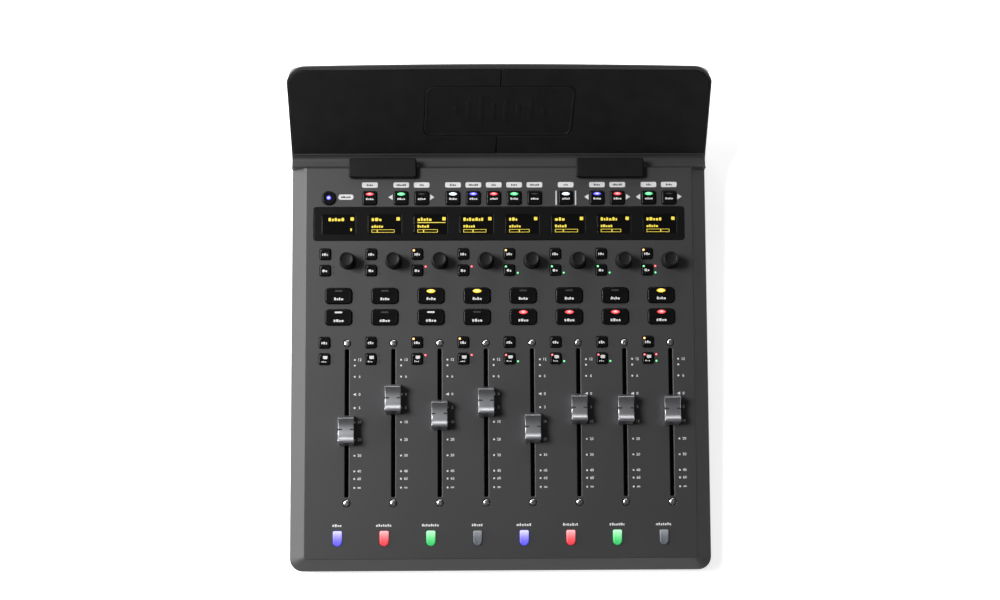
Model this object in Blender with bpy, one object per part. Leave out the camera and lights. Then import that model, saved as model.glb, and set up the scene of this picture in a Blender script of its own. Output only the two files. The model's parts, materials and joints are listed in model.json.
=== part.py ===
"""Compact eight-fader mixing console with a tablet backrest.

Axes: +X to the operator's right, +Y to the rear, +Z up. The origin is the middle of
the footprint, on the surface that the feet stand on. Every length below is in
millimetres and is turned into metres where a mesh is made.

Two inclined frames carry almost everything. In the deck frame u runs to the right,
v up the deck from its front edge and w out of the deck. In the backrest frame the
same letters run along the width, up the slope and out of the pads.
"""

import math

import bmesh
import bpy
from mathutils import Matrix, Vector

MM = 0.001

# Driving dimensions of the case.
WIDTH = 320.0
WALL = 2.2
DECK_THICKNESS = 2.4
DECK_SLOPE = 3.0
DECK_FRONT_Y = 9.0
DECK_FRONT_Z = 26.0
DECK_LENGTH = 298.6
BEVEL_WIDTH = 11.5
BEVEL_DROP = 9.0
FRONT_CORNER = 10.0
REAR_WALL_Y = 338.3
TRAY_BOTTOM_Z = 3.0
TRAY_FLOOR = 2.2
SPLIT_Z = 14.0
JOINT_GAP = 0.3

# Backrest: its face starts at the rear of the tablet channel.
BACK_SLOPE = 44.0
BACK_FOOT_Y = 318.9
BACK_FOOT_Z = 38.9
BACK_LENGTH = 76.8
BACK_THICKNESS = 9.0
BACK_PLATE = 5.0
BACK_CORNER = 17.0
BACK_LIP = 1.2
BACK_RIM = 3.0
PAD_INSET = 1.1
PAD_DEPTH = 2.0
PAD_LENGTH = 73.4
PAD_LEAN = 3.2
BADGE_SIZE = (113.0, 42.3)
BADGE_V = 36.9

# Channel strips: eight columns, with the fader slot as each column's centre line.
COLUMNS = 8
PITCH = 35.24
GROUP_OFFSET = 6.85
TRAVEL = 100.0
FADER_V = 102.4
SLOT_LENGTH = 112.0
SLOT_WIDTH = 2.8
SCREW_SPACING = 121.0
FADER_REST = (-5.0, 18.7, 6.7, 16.5, -3.3, 10.9, 10.3, 9.8)

# Rows of controls, as places along v and shifts from the column's centre line.
SOFT_V, SOFT_SHIFT = 15.3, -6.9
LOWER_ROWS, LOWER_SHIFT = (150.9, 163.5), -17.2
MUTE_V, SOLO_V, WIDE_SHIFT = 182.8, 199.2, -6.6
UPPER_ROWS, UPPER_SHIFT = (218.8, 231.4), -17.0
KNOB_V = 226.0
DISPLAY_V, DISPLAY_SHIFT = 254.9, -6.8
FUNCTION_V = 274.8
SHIFT_KEY_U = -130.9
FUNCTION_START = -99.6
FUNCTION_GROUPS = (1, 2, 5, 1, 2, 2)
FUNCTION_PITCH = 15.7
FUNCTION_GAP = 24.1

# Key sizes across u and v.
SMALL_KEY = (8.4, 8.6)
WIDE_KEY = (20.4, 12.1)
FUNCTION_KEY = (10.9, 10.6)
SOFT_KEY = (6.6, 11.3)
SHIFT_KEY_RADIUS = 5.3
DISPLAY_SIZE = (284.6, 25.5)
KEY_CLEARANCE = 0.35

# Levels along w under and over the deck.
KEY_TOP = 1.4
WEB_TOP = -2.7
WEB_BOTTOM = -3.8
PLUNGER_BOTTOM = -4.8
SWITCH_TOP = -5.9
BOARD_TOP = -6.9
BOARD_BOTTOM = -8.5
FRAME_TOP = -4.5
FRAME_BOTTOM = -17.5

STOP_U = ((-115.7, -63.6), (59.1, 111.2))
STOP_V = (290.1, 305.3)
STOP_HEIGHT = 5.0

# Rear sockets, along x.
SWITCH_X = 112.0
SWITCH_Z = 26.0
POWER_X = 84.0
NETWORK_X = 50.0
PEDAL_X = (12.0, -14.0)
SOCKET_BOARD_Z = 17.0
SOCKET_TOP_Z = 30.6
SOCKET_AXIS_Z = 26.0
POWER_AXIS_Z = 24.0


def direction(slope):
    """Unit vector up a slope, and the one out of it, in the YZ plane."""
    angle = math.radians(slope)
    return Vector((0, math.cos(angle), math.sin(angle))), Vector((0, -math.sin(angle), math.cos(angle)))


BACK_UP, BACK_OUT = direction(BACK_SLOPE)
BACK_FOOT = Vector((0, BACK_FOOT_Y, BACK_FOOT_Z))
DEPTH = (BACK_FOOT + BACK_UP * BACK_LENGTH - BACK_OUT * BACK_LIP).y
# The backrest's end is upright, so its rear face stops lower down the slope than its front face.
BACK_REAR_LENGTH = BACK_LENGTH - (BACK_THICKNESS - BACK_LIP) * math.tan(math.radians(BACK_SLOPE))
TO_ORIGIN = Matrix.Translation(Vector((0, -DEPTH / 2 * MM, 0)))


def inclined_frame(y, z, slope):
    place = Matrix.Translation(Vector((0, y * MM, z * MM)))
    return TO_ORIGIN @ place @ Matrix.Rotation(math.radians(slope), 4, "X")


DECK = inclined_frame(DECK_FRONT_Y, DECK_FRONT_Z, DECK_SLOPE)
BACKREST = inclined_frame(BACK_FOOT_Y, BACK_FOOT_Z, BACK_SLOPE)


def in_frame(frame, u, v, w=0.0):
    """The frame moved along its own axes to a point given in millimetres."""
    return frame @ Matrix.Translation(Vector((u, v, w)) * MM)


def column(index):
    return GROUP_OFFSET + (index - (COLUMNS - 1) / 2) * PITCH


def function_key_places():
    places = []
    u = FUNCTION_START
    for group in FUNCTION_GROUPS:
        for _ in range(group):
            places.append(u)
            u += FUNCTION_PITCH
        u += FUNCTION_GAP - FUNCTION_PITCH
    return places


# Materials.

COLOURS = {
    "case": ((0.075, 0.076, 0.080), 0.55, 0.3),
    "tray": ((0.055, 0.056, 0.060), 0.60, 0.3),
    "pad": ((0.018, 0.018, 0.019), 0.85, 0.0),
    "badge": ((0.030, 0.030, 0.032), 0.40, 0.0),
    "rubber": ((0.012, 0.012, 0.013), 0.75, 0.0),
    "lens": ((0.006, 0.006, 0.008), 0.08, 0.0),
    "key": ((0.022, 0.022, 0.024), 0.60, 0.0),
    "fader_cap": ((0.130, 0.135, 0.145), 0.38, 0.6),
    "circuit_board": ((0.020, 0.085, 0.040), 0.50, 0.0),
    "steel": ((0.480, 0.490, 0.500), 0.35, 1.0),
}


def make_material(name):
    colour, roughness, metallic = COLOURS[name]
    material = bpy.data.materials.new(name)
    material.use_nodes = True
    shader = material.node_tree.nodes["Principled BSDF"]
    shader.inputs["Base Color"].default_value = (*colour, 1.0)
    shader.inputs["Roughness"].default_value = roughness
    shader.inputs["Metallic"].default_value = metallic
    return material


def clear_scene():
    for item in list(bpy.data.objects):
        bpy.data.objects.remove(item, do_unlink=True)


# Outlines: lists of (a, b) points, counter-clockwise.


def arc(centre, radius, start, end, segments):
    points = []
    for step in range(segments + 1):
        angle = math.radians(start + (end - start) * step / segments)
        points.append((centre[0] + radius * math.cos(angle), centre[1] + radius * math.sin(angle)))
    return points


def rectangle(size, corner=0.0, segments=1):
    """Rectangle about the origin, with its corners cut or rounded when corner isn't 0."""
    a, b = size[0] / 2, size[1] / 2
    if not corner:
        return [(a, -b), (a, b), (-a, b), (-a, -b)]
    points = []
    for quarter, (sx, sy) in enumerate(((1, 1), (-1, 1), (-1, -1), (1, -1))):
        centre = (sx * (a - corner), sy * (b - corner))
        points += arc(centre, corner, 90 * quarter, 90 * quarter + 90, segments)
    return points


def circle(radius, segments):
    return arc((0, 0), radius, 0, 360, segments)[:-1]


def shield(size, grow=0.0):
    """Soft key outline: flat at the rear, a half circle at the front."""
    half = size[0] / 2 + grow
    rear = size[1] / 2 + grow
    front = arc((0, -size[1] / 2 + size[0] / 2), half, 180, 360, 5)
    return [(half, rear), (-half, rear), *front]


# Solids in a bmesh.


def ring(mesh, outline, level):
    return [mesh.verts.new(Vector((a, b, level)) * MM) for a, b in outline]


def join_rings(mesh, lower, upper):
    count = len(lower)
    for i in range(count):
        j = (i + 1) % count
        mesh.faces.new((lower[i], lower[j], upper[j], upper[i]))


def stack(mesh, *levels):
    """Closed solid through (outline, level) pairs that share a number of points."""
    rings = [ring(mesh, outline, level) for outline, level in levels]
    mesh.faces.new(list(reversed(rings[0])))
    for lower, upper in zip(rings, rings[1:]):
        join_rings(mesh, lower, upper)
    mesh.faces.new(rings[-1])


def shifted(outline, u, v):
    return [(a + u, b + v) for a, b in outline]


def block(mesh, u, v, w):
    """Box between the pairs of limits along each axis."""
    outline = [(u[1], v[0]), (u[1], v[1]), (u[0], v[1]), (u[0], v[0])]
    stack(mesh, (outline, w[0]), (outline, w[1]))


def turned(mesh, profile, segments, u=0.0, v=0.0):
    """Body of revolution about w. The profile starts and ends on the axis."""
    rings = []
    for radius, level in profile:
        if radius == 0:
            rings.append([mesh.verts.new(Vector((u, v, level)) * MM)])
        else:
            rings.append(ring(mesh, shifted(circle(radius, segments), u, v), level))
    for lower, upper in zip(rings, rings[1:]):
        if len(lower) > 1 and len(upper) > 1:
            join_rings(mesh, lower, upper)
            continue
        pole, rim = (lower, upper) if len(lower) == 1 else (upper, lower)
        for i in range(segments):
            mesh.faces.new((pole[0], rim[i], rim[(i + 1) % segments]))


def sideways_prism(mesh, profile, half_width):
    """Prism along X from a (y, z) profile."""
    sides = []
    for x in (-half_width, half_width):
        sides.append([mesh.verts.new(Vector((x, y, z)) * MM) for y, z in profile])
    mesh.faces.new(sides[0])
    mesh.faces.new(list(reversed(sides[1])))
    join_rings(mesh, sides[1], sides[0])


def new_object(name, build, frame=TO_ORIGIN, material=None):
    """Object made by build(bmesh), set in a frame. Without a material it is a cutter."""
    mesh = bmesh.new()
    build(mesh)
    bmesh.ops.recalc_face_normals(mesh, faces=mesh.faces)
    data = bpy.data.meshes.new(name)
    mesh.to_mesh(data)
    mesh.free()
    item = bpy.data.objects.new(name, data)
    bpy.context.scene.collection.objects.link(item)
    item.matrix_world = frame
    if material:
        data.materials.append(MATERIALS[material])
    else:
        item.hide_render = True
        item.display_type = "WIRE"
    return item


def combine(item, operation, *tools):
    for tool in tools:
        modifier = item.modifiers.new(operation.title() + "_" + tool.name, "BOOLEAN")
        modifier.operation = operation
        modifier.solver = "EXACT"
        modifier.object = tool


# Case.


def deck_z(y):
    return DECK_FRONT_Z + (y - DECK_FRONT_Y) * math.tan(math.radians(DECK_SLOPE))


def plan_outline(inset, front, rear, corner):
    """Case outline in plan: rounded at the front, square at the rear."""
    half = WIDTH / 2 - inset
    points = [(half, rear), (-half, rear)]
    points += arc((-half + corner, front + corner), corner, 180, 270, 4)
    points += arc((half - corner, front + corner), corner, 270, 360, 4)
    return points


def loft_on_deck(mesh, rings):
    """Closed solid through plan outlines, each at a fixed z or hung from the deck plane."""
    made = []
    for outline, fixed_z, below_deck in rings:
        corners = []
        for x, y in outline:
            z = fixed_z if fixed_z is not None else deck_z(y) - below_deck
            corners.append(mesh.verts.new(Vector((x, y, z)) * MM))
        made.append(corners)
    mesh.faces.new(list(reversed(made[0])))
    for lower, upper in zip(made, made[1:]):
        join_rings(mesh, lower, upper)
    mesh.faces.new(made[-1])


def back_point(v, w):
    place = BACK_FOOT + BACK_UP * v + BACK_OUT * w
    return (place.y, place.z)


CREASE_Y = DECK_FRONT_Y + DECK_LENGTH * math.cos(math.radians(DECK_SLOPE))
# Points of the channel after the deck's rear edge, as steps along y and z from it.
CHANNEL_STEPS = ((0.8, -2.6), (2.5, -4.4), (4.9, -5.2), (7.5, -5.2), (9.7, -4.6))


def build_wedge(mesh):
    rear = CREASE_Y
    loft_on_deck(
        mesh,
        (
            (plan_outline(0, 0, rear, FRONT_CORNER), SPLIT_Z, None),
            (plan_outline(0, 0, rear, FRONT_CORNER), None, BEVEL_DROP),
            (plan_outline(BEVEL_WIDTH, DECK_FRONT_Y, rear, 2.0), None, 0.0),
        ),
    )


def build_wedge_hollow(mesh):
    rear = CREASE_Y - 5
    inner = plan_outline(WALL, WALL, rear, FRONT_CORNER - WALL)
    top = plan_outline(BEVEL_WIDTH + 1, DECK_FRONT_Y + 1, rear, 1.5)
    loft_on_deck(mesh, ((inner, SPLIT_Z - 5, None), (inner, None, BEVEL_DROP + 1.2), (top, None, DECK_THICKNESS)))


def build_rear_body(mesh):
    """Tablet channel, backrest and the walls below them."""
    hidden_top = deck_z(CREASE_Y) - BEVEL_DROP - 1.5
    start = CREASE_Y - 0.1
    profile = [
        (CREASE_Y - 5, SPLIT_Z),
        (CREASE_Y - 5, hidden_top),
        (start, hidden_top),
        (start, deck_z(start) - 0.1),
        *[(CREASE_Y + step, deck_z(CREASE_Y) + drop) for step, drop in CHANNEL_STEPS],
        back_point(-1.5, 0),
        back_point(BACK_LENGTH - BACK_LIP, 0),
        back_point(BACK_LENGTH, -BACK_LIP),
        back_point(BACK_REAR_LENGTH, -BACK_THICKNESS),
        (REAR_WALL_Y, rear_wall_top()),
        (REAR_WALL_Y, SPLIT_Z),
    ]
    sideways_prism(mesh, profile, WIDTH / 2)


def rear_wall_top(inset=0.0):
    """Height where the rear wall meets the underside of the backrest."""
    underside = BACK_FOOT - BACK_OUT * (BACK_THICKNESS - inset)
    return underside.z + (REAR_WALL_Y - inset - underside.y) * math.tan(math.radians(BACK_SLOPE))


def build_rear_hollow(mesh):
    """Space behind the channel, open to the rear, where the rear cover closes it."""
    profile = [
        (CREASE_Y - 8, SPLIT_Z - 5),
        (CREASE_Y - 8, 33.4),
        back_point(-2, -BACK_PLATE),
        back_point(12, -BACK_PLATE),
        back_point(12, -40),
        (REAR_WALL_Y + 20, SPLIT_Z - 5),
    ]
    sideways_prism(mesh, profile, WIDTH / 2 - WALL)


def back_outline(inset, low, high, corner):
    """Outline in the backrest plane: square below, rounded at the two top corners."""
    half = WIDTH / 2 - inset
    points = [(-half, low), (half, low)]
    points += arc((half - corner, high - corner), corner, 0, 90, 5)
    points += arc((-half + corner, high - corner), corner, 90, 180, 5)
    return points


def build_back_hollow(mesh):
    outline = back_outline(WALL, 6, BACK_REAR_LENGTH - BACK_RIM, BACK_CORNER - WALL)
    stack(mesh, (outline, -40), (outline, -BACK_PLATE))


def build_pad_recess(mesh):
    outline = back_outline(PAD_INSET - JOINT_GAP, -JOINT_GAP, PAD_LENGTH + JOINT_GAP, BACK_CORNER - 3)
    stack(mesh, (outline, -PAD_DEPTH - 0.3), (outline, 5))


def build_corner_cutters(mesh):
    """What is outside the backrest's two rounded top corners."""
    half, top, radius = WIDTH / 2, BACK_LENGTH, BACK_CORNER
    right = arc((half - radius, top - radius), radius, 0, 90, 6)
    right += [(half - radius, top + 5), (half + 5, top + 5), (half + 5, top - radius)]
    left = [(-a, b) for a, b in reversed(right)]
    for outline in (right, left):
        stack(mesh, (outline, -BACK_THICKNESS - 8), (outline, 6))


def build_deck_holes(mesh):
    """Every opening through the deck, drawn in the deck frame."""
    clear = 2 * KEY_CLEARANCE
    wide = rectangle((WIDE_KEY[0] + clear, WIDE_KEY[1] + clear), 3.0)
    small = rectangle((SMALL_KEY[0] + clear, SMALL_KEY[1] + clear))
    function = rectangle((FUNCTION_KEY[0] + clear, FUNCTION_KEY[1] + clear))
    slot = rectangle((SLOT_WIDTH, SLOT_LENGTH))
    soft = shield(SOFT_KEY, KEY_CLEARANCE)
    through = (-DECK_THICKNESS - 1, 1.0)

    def cut(outline, u, v):
        placed = shifted(outline, u, v)
        stack(mesh, (placed, through[0]), (placed, through[1]))

    for index in range(COLUMNS):
        u = column(index)
        cut(slot, u, FADER_V)
        cut(circle(4.0, 8), u, KNOB_V)
        cut(soft, u + SOFT_SHIFT, SOFT_V)
        cut(wide, u + WIDE_SHIFT, MUTE_V)
        cut(wide, u + WIDE_SHIFT, SOLO_V)
        for v in LOWER_ROWS:
            cut(small, u + LOWER_SHIFT, v)
        for v in UPPER_ROWS:
            cut(small, u + UPPER_SHIFT, v)
        for v in screw_rows():
            neck = shifted(circle(1.9, 6), u, v)
            bore = shifted(circle(3.0, 6), u, v)
            stack(mesh, (neck, through[0]), (neck, -1.6), (bore, -1.6), (bore, through[1]))
    for u in function_key_places():
        cut(function, u, FUNCTION_V)
    cut(circle(SHIFT_KEY_RADIUS + KEY_CLEARANCE, 16), SHIFT_KEY_U, FUNCTION_V)
    window = shifted(rectangle((DISPLAY_SIZE[0] - 6, DISPLAY_SIZE[1] - 5)), 0, DISPLAY_V)
    rebate = shifted(rectangle((DISPLAY_SIZE[0] + 0.7, DISPLAY_SIZE[1] + 0.7)), 0, DISPLAY_V)
    stack(mesh, (window, through[0]), (window, -1.3), (rebate, -1.3), (rebate, through[1]))


def screw_rows():
    return (FADER_V - SCREW_SPACING / 2, FADER_V + SCREW_SPACING / 2)


def make_top_case():
    case = new_object("top_case", build_wedge, material="case")
    rear = new_object("cutter_rear_body", build_rear_body)
    tools = (
        new_object("cutter_wedge_hollow", build_wedge_hollow),
        new_object("cutter_rear_hollow", build_rear_hollow),
        new_object("cutter_back_hollow", build_back_hollow, BACKREST),
        new_object("cutter_pad_recess", build_pad_recess, BACKREST),
        new_object("cutter_top_corners", build_corner_cutters, BACKREST),
        new_object("cutter_deck_holes", build_deck_holes, DECK),
    )
    combine(case, "UNION", rear)
    combine(case, "DIFFERENCE", *tools)


def make_bottom_tray():
    def outer(mesh):
        outline = plan_outline(0, 0, REAR_WALL_Y, FRONT_CORNER)
        stack(mesh, (outline, TRAY_BOTTOM_Z), (outline, SPLIT_Z - JOINT_GAP))

    def hollow(mesh):
        outline = plan_outline(WALL, WALL, REAR_WALL_Y - WALL, FRONT_CORNER - WALL)
        stack(mesh, (outline, TRAY_BOTTOM_Z + TRAY_FLOOR), (outline, SPLIT_Z + 5))

    tray = new_object("bottom_tray", outer, material="tray")
    combine(tray, "DIFFERENCE", new_object("cutter_tray_hollow", hollow))


def make_rear_cover():
    """Bent plate that closes the back of the backrest and the rear wall."""
    sheet = 2.0
    side_gap = WALL + JOINT_GAP
    top = BACK_REAR_LENGTH - BACK_RIM - JOINT_GAP

    def plate(mesh):
        profile = [
            back_point(top, -BACK_THICKNESS + sheet),
            back_point(top, -BACK_THICKNESS),
            (REAR_WALL_Y, rear_wall_top()),
            (REAR_WALL_Y, SPLIT_Z),
            (REAR_WALL_Y - sheet, SPLIT_Z),
            (REAR_WALL_Y - sheet, rear_wall_top(sheet)),
        ]
        sideways_prism(mesh, profile, WIDTH / 2 - side_gap)

    def corners(mesh):
        radius = BACK_CORNER - WALL
        half = WIDTH / 2 - side_gap
        right = arc((half - radius, top - radius), radius, 0, 90, 5)
        right += [(half - radius, top + 5), (half + 5, top + 5), (half + 5, top - radius)]
        left = [(-a, b) for a, b in reversed(right)]
        for outline in (right, left):
            stack(mesh, (outline, -BACK_THICKNESS - 6), (outline, 0))

    def cutouts(mesh):
        low, high = REAR_WALL_Y - 6, REAR_WALL_Y + 6
        block(mesh, (SWITCH_X - 5.2, SWITCH_X + 5.2), (low, high), (SWITCH_Z - 8.6, SWITCH_Z + 8.6))
        block(mesh, (POWER_X - 5.2, POWER_X + 5.2), (low, high), (SOCKET_BOARD_Z - 0.8, SOCKET_TOP_Z + 0.4))
        block(mesh, (NETWORK_X - 8.4, NETWORK_X + 8.4), (low, high), (SOCKET_BOARD_Z - 0.8, SOCKET_TOP_Z + 0.4))

    def round_cutouts(mesh):
        for x in PEDAL_X:
            outline = shifted(circle(5.8, 12), x, -SOCKET_AXIS_Z)
            stack(mesh, (outline, REAR_WALL_Y - 6), (outline, REAR_WALL_Y + 6))

    cover = new_object("rear_cover", plate, material="tray")
    lying = TO_ORIGIN @ Matrix.Rotation(math.radians(-90), 4, "X")
    tools = (
        new_object("cutter_cover_corners", corners, BACKREST),
        new_object("cutter_cover_sockets", cutouts),
        new_object("cutter_cover_round_sockets", round_cutouts, lying),
    )
    combine(cover, "DIFFERENCE", *tools)


def badge_outline(grow=0.0):
    """Parallelogram plate whose sides lean like the joint between the pads."""
    half_width, half_height = BADGE_SIZE[0] / 2 + grow, BADGE_SIZE[1] / 2 + grow
    lean = math.tan(math.radians(PAD_LEAN))
    outline = rectangle((2 * half_width, 2 * half_height), 5.0, 3)
    return [(a + lean * b, b + BADGE_V) for a, b in outline]


def make_backrest():
    """Two soft pads with a leaning joint, and a plate set into both."""
    lean = math.tan(math.radians(PAD_LEAN))
    middle = -0.35

    def half_pad(side):
        def build(mesh):
            full = back_outline(PAD_INSET, 0, PAD_LENGTH, BACK_CORNER - 3.3)
            low = middle - lean * BADGE_V + side * 0.25
            high = middle + lean * (PAD_LENGTH - BADGE_V) + side * 0.25
            if side > 0:
                outline = [(low, 0), full[1], *full[2:8], (high, PAD_LENGTH)]
            else:
                outline = [full[0], (low, 0), (high, PAD_LENGTH), *full[8:]]
            stack(mesh, (outline, -PAD_DEPTH), (outline, 0.2))

        return build

    def badge(mesh):
        stack(mesh, (badge_outline(), -PAD_DEPTH), (badge_outline(), 0.6))

    def badge_hole(mesh):
        stack(mesh, (badge_outline(0.3), -PAD_DEPTH - 1), (badge_outline(0.3), 2))

    hole = new_object("cutter_badge", badge_hole, BACKREST)
    for name, side in (("backrest_pad_left", -1), ("backrest_pad_right", 1)):
        pad = new_object(name, half_pad(side), BACKREST, "pad")
        combine(pad, "DIFFERENCE", hole)
    new_object("backrest_badge", badge, BACKREST, "badge")


def make_tablet_stops():
    for name, (left, right) in zip(("tablet_stop_left", "tablet_stop_right"), STOP_U):

        def build(mesh, left=left, right=right):
            size = (right - left, STOP_V[1] - STOP_V[0])
            centre = ((left + right) / 2, (STOP_V[0] + STOP_V[1]) / 2)
            base = shifted(rectangle(size, 2.0, 2), *centre)
            top = shifted(rectangle((size[0] - 1, size[1] - 1), 1.6, 2), *centre)
            stack(mesh, (base, JOINT_GAP), (base, STOP_HEIGHT - 0.8), (top, STOP_HEIGHT))

        new_object(name, build, DECK, "rubber")


def make_feet():
    for name, y in (("foot_front", 22.0), ("foot_rear", 314.0)):

        def build(mesh, y=y):
            base = shifted(rectangle((258, 11), 3.0, 2), 0, y)
            top = shifted(rectangle((260, 13), 3.5, 2), 0, y)
            stack(mesh, (base, 0), (top, 1.0), (top, TRAY_BOTTOM_Z - JOINT_GAP))

        new_object(name, build, material="rubber")


def make_display_lens():
    def build(mesh):
        outline = shifted(rectangle(DISPLAY_SIZE), 0, DISPLAY_V)
        stack(mesh, (outline, -1.0), (outline, 0.2))

    new_object("display_lens", build, DECK, "lens")


# Inner pieces.


def make_control_board():
    """Circuit board with its switches, display modules and rotary encoders."""

    def plate(mesh):
        block(mesh, (-144, 144), (174, 285), (BOARD_BOTTOM, BOARD_TOP))

    def fingers(mesh):
        for index in range(COLUMNS):
            u = column(index) + LOWER_SHIFT
            block(mesh, (u - 6, u + 6), (145, 178), (BOARD_BOTTOM + 0.05, BOARD_TOP - 0.05))

    def components(mesh):
        switch = (BOARD_TOP - 0.4, SWITCH_TOP)
        for index in range(COLUMNS):
            u = column(index)
            spots = [(u + WIDE_SHIFT, MUTE_V), (u + WIDE_SHIFT, SOLO_V)]
            spots += [(u + UPPER_SHIFT, v) for v in UPPER_ROWS]
            spots += [(u + LOWER_SHIFT, v) for v in LOWER_ROWS]
            for a, b in spots:
                block(mesh, (a - 2.2, a + 2.2), (b - 2.2, b + 2.2), switch)
            a = u + DISPLAY_SHIFT
            block(mesh, (a - 15, a + 15), (DISPLAY_V - 9, DISPLAY_V + 9), (BOARD_TOP - 0.4, -2.8))
            encoder = ((0, BOARD_TOP - 0.4), (6, BOARD_TOP - 0.4), (6, -2.8), (3.4, -2.8), (3.4, 3.0))
            turned(mesh, (*encoder, (3.0, 3.0), (3.0, 10.0), (0, 10.0)), 8, u, KNOB_V)
        for a in (SHIFT_KEY_U, *function_key_places()):
            block(mesh, (a - 2.2, a + 2.2), (FUNCTION_V - 2.2, FUNCTION_V + 2.2), switch)

    board = new_object("control_board", plate, DECK, "circuit_board")
    combine(board, "UNION", new_object("cutter_board_fingers", fingers, DECK))
    combine(board, "UNION", new_object("cutter_board_components", components, DECK))


def make_soft_key_board():
    def plate(mesh):
        block(mesh, (-134, 134), (6, 25), (BOARD_BOTTOM, BOARD_TOP))

    def switches(mesh):
        for index in range(COLUMNS):
            u = column(index) + SOFT_SHIFT
            block(mesh, (u - 2.2, u + 2.2), (SOFT_V - 2.2, SOFT_V + 2.2), (BOARD_TOP - 0.4, SWITCH_TOP))

    board = new_object("soft_key_board", plate, DECK, "circuit_board")
    combine(board, "UNION", new_object("cutter_soft_switches", switches, DECK))


def make_fader_bank():
    """Fader frames on their carrier plate, with the motors below and the panel screws above."""

    def carrier(mesh):
        block(mesh, (column(0) - 12, column(COLUMNS - 1) + 12), (50, 150), (FRAME_BOTTOM - 1.5, FRAME_BOTTOM))

    def frames(mesh):
        for index in range(COLUMNS):
            u = column(index)
            block(mesh, (u - 6, u + 6), (37.6, 168.4), (FRAME_BOTTOM - 0.5, FRAME_TOP))

    def channels(mesh):
        for index in range(COLUMNS):
            u = column(index)
            block(mesh, (u - 2.9, u + 2.9), (FADER_V - 57, FADER_V + 57), (-14.5, FRAME_TOP + 1))

    def motors(mesh):
        for index in range(COLUMNS):
            u = column(index)
            block(mesh, (u - 8, u + 8), (118, 148), (FRAME_BOTTOM - 7.5, FRAME_BOTTOM - 1.0))

    def screws(mesh):
        boss = ((0, FRAME_TOP - 0.4), (2.6, FRAME_TOP - 0.4), (2.6, WEB_TOP), (1.3, WEB_TOP))
        head = ((1.3, -1.3), (2.3, -1.3), (2.3, 0.1), (0, 0.1))
        for index in range(COLUMNS):
            for v in screw_rows():
                turned(mesh, boss + head, 6, column(index), v)

    bank = new_object("fader_bank", carrier, DECK, "steel")
    combine(bank, "UNION", new_object("cutter_fader_frames", frames, DECK))
    combine(bank, "DIFFERENCE", new_object("cutter_fader_channels", channels, DECK))
    combine(bank, "UNION", new_object("cutter_fader_motors", motors, DECK))
    combine(bank, "UNION", new_object("cutter_panel_screws", screws, DECK))


def make_connector_board():
    """Socket board behind the rear wall: power inlet, network socket and two pedal sockets."""
    front, rear = REAR_WALL_Y - 52, REAR_WALL_Y - 0.4
    low = SOCKET_BOARD_Z - 0.4

    def plate(mesh):
        block(mesh, (-30, 124), (front, REAR_WALL_Y - 5), (SOCKET_BOARD_Z - 1.6, SOCKET_BOARD_Z))

    def housings(mesh):
        block(mesh, (POWER_X - 4.7, POWER_X + 4.7), (rear - 18, rear), (low, SOCKET_TOP_Z))
        block(mesh, (NETWORK_X - 8, NETWORK_X + 8), (rear - 26, rear), (low, SOCKET_TOP_Z))
        for x in PEDAL_X:
            block(mesh, (x - 7.5, x + 7.5), (rear - 32, REAR_WALL_Y - 3), (low, SOCKET_TOP_Z + 1))

    lying = TO_ORIGIN @ Matrix.Rotation(math.radians(-90), 4, "X")

    def noses(mesh):
        for x in PEDAL_X:
            outline = shifted(circle(5.3, 12), x, -SOCKET_AXIS_Z)
            stack(mesh, (outline, REAR_WALL_Y - 4), (outline, rear))

    def round_bores(mesh):
        for x in PEDAL_X:
            outline = shifted(circle(3.4, 12), x, -SOCKET_AXIS_Z)
            stack(mesh, (outline, rear - 28), (outline, REAR_WALL_Y + 3))
        outline = shifted(circle(3.1, 12), POWER_X, -POWER_AXIS_Z)
        stack(mesh, (outline, rear - 14), (outline, REAR_WALL_Y + 3))

    def network_bore(mesh):
        block(mesh, (NETWORK_X - 5.9, NETWORK_X + 5.9), (rear - 20, REAR_WALL_Y + 3), (20.0, 28.0))

    def power_pin(mesh):
        outline = shifted(circle(1.0, 8), POWER_X, -POWER_AXIS_Z)
        stack(mesh, (outline, rear - 15), (outline, rear - 6))

    board = new_object("connector_board", plate, material="circuit_board")
    combine(board, "UNION", new_object("cutter_socket_housings", housings))
    combine(board, "UNION", new_object("cutter_socket_noses", noses, lying))
    combine(board, "DIFFERENCE", new_object("cutter_round_bores", round_bores, lying))
    combine(board, "DIFFERENCE", new_object("cutter_network_bore", network_bore))
    combine(board, "UNION", new_object("cutter_power_pin", power_pin, lying))


# Moving pieces. Each has its own origin on its joint's axis.


def make_key(name, frame, body, flange, top=KEY_TOP):
    """Single key: plunger, flange below the deck and the cap that stands through it."""
    count = len(body)
    plunger = circle(1.5, count)
    start = min(range(count), key=lambda i: abs(math.atan2(body[i][1], body[i][0])))
    body = body[start:] + body[:start]
    flange = flange[start:] + flange[:start]

    def build(mesh):
        stack(
            mesh,
            (plunger, PLUNGER_BOTTOM),
            (plunger, WEB_BOTTOM),
            (flange, WEB_BOTTOM),
            (flange, WEB_TOP),
            (body, WEB_TOP),
            (body, top),
        )

    return new_object(name, build, frame, "key")


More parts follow.
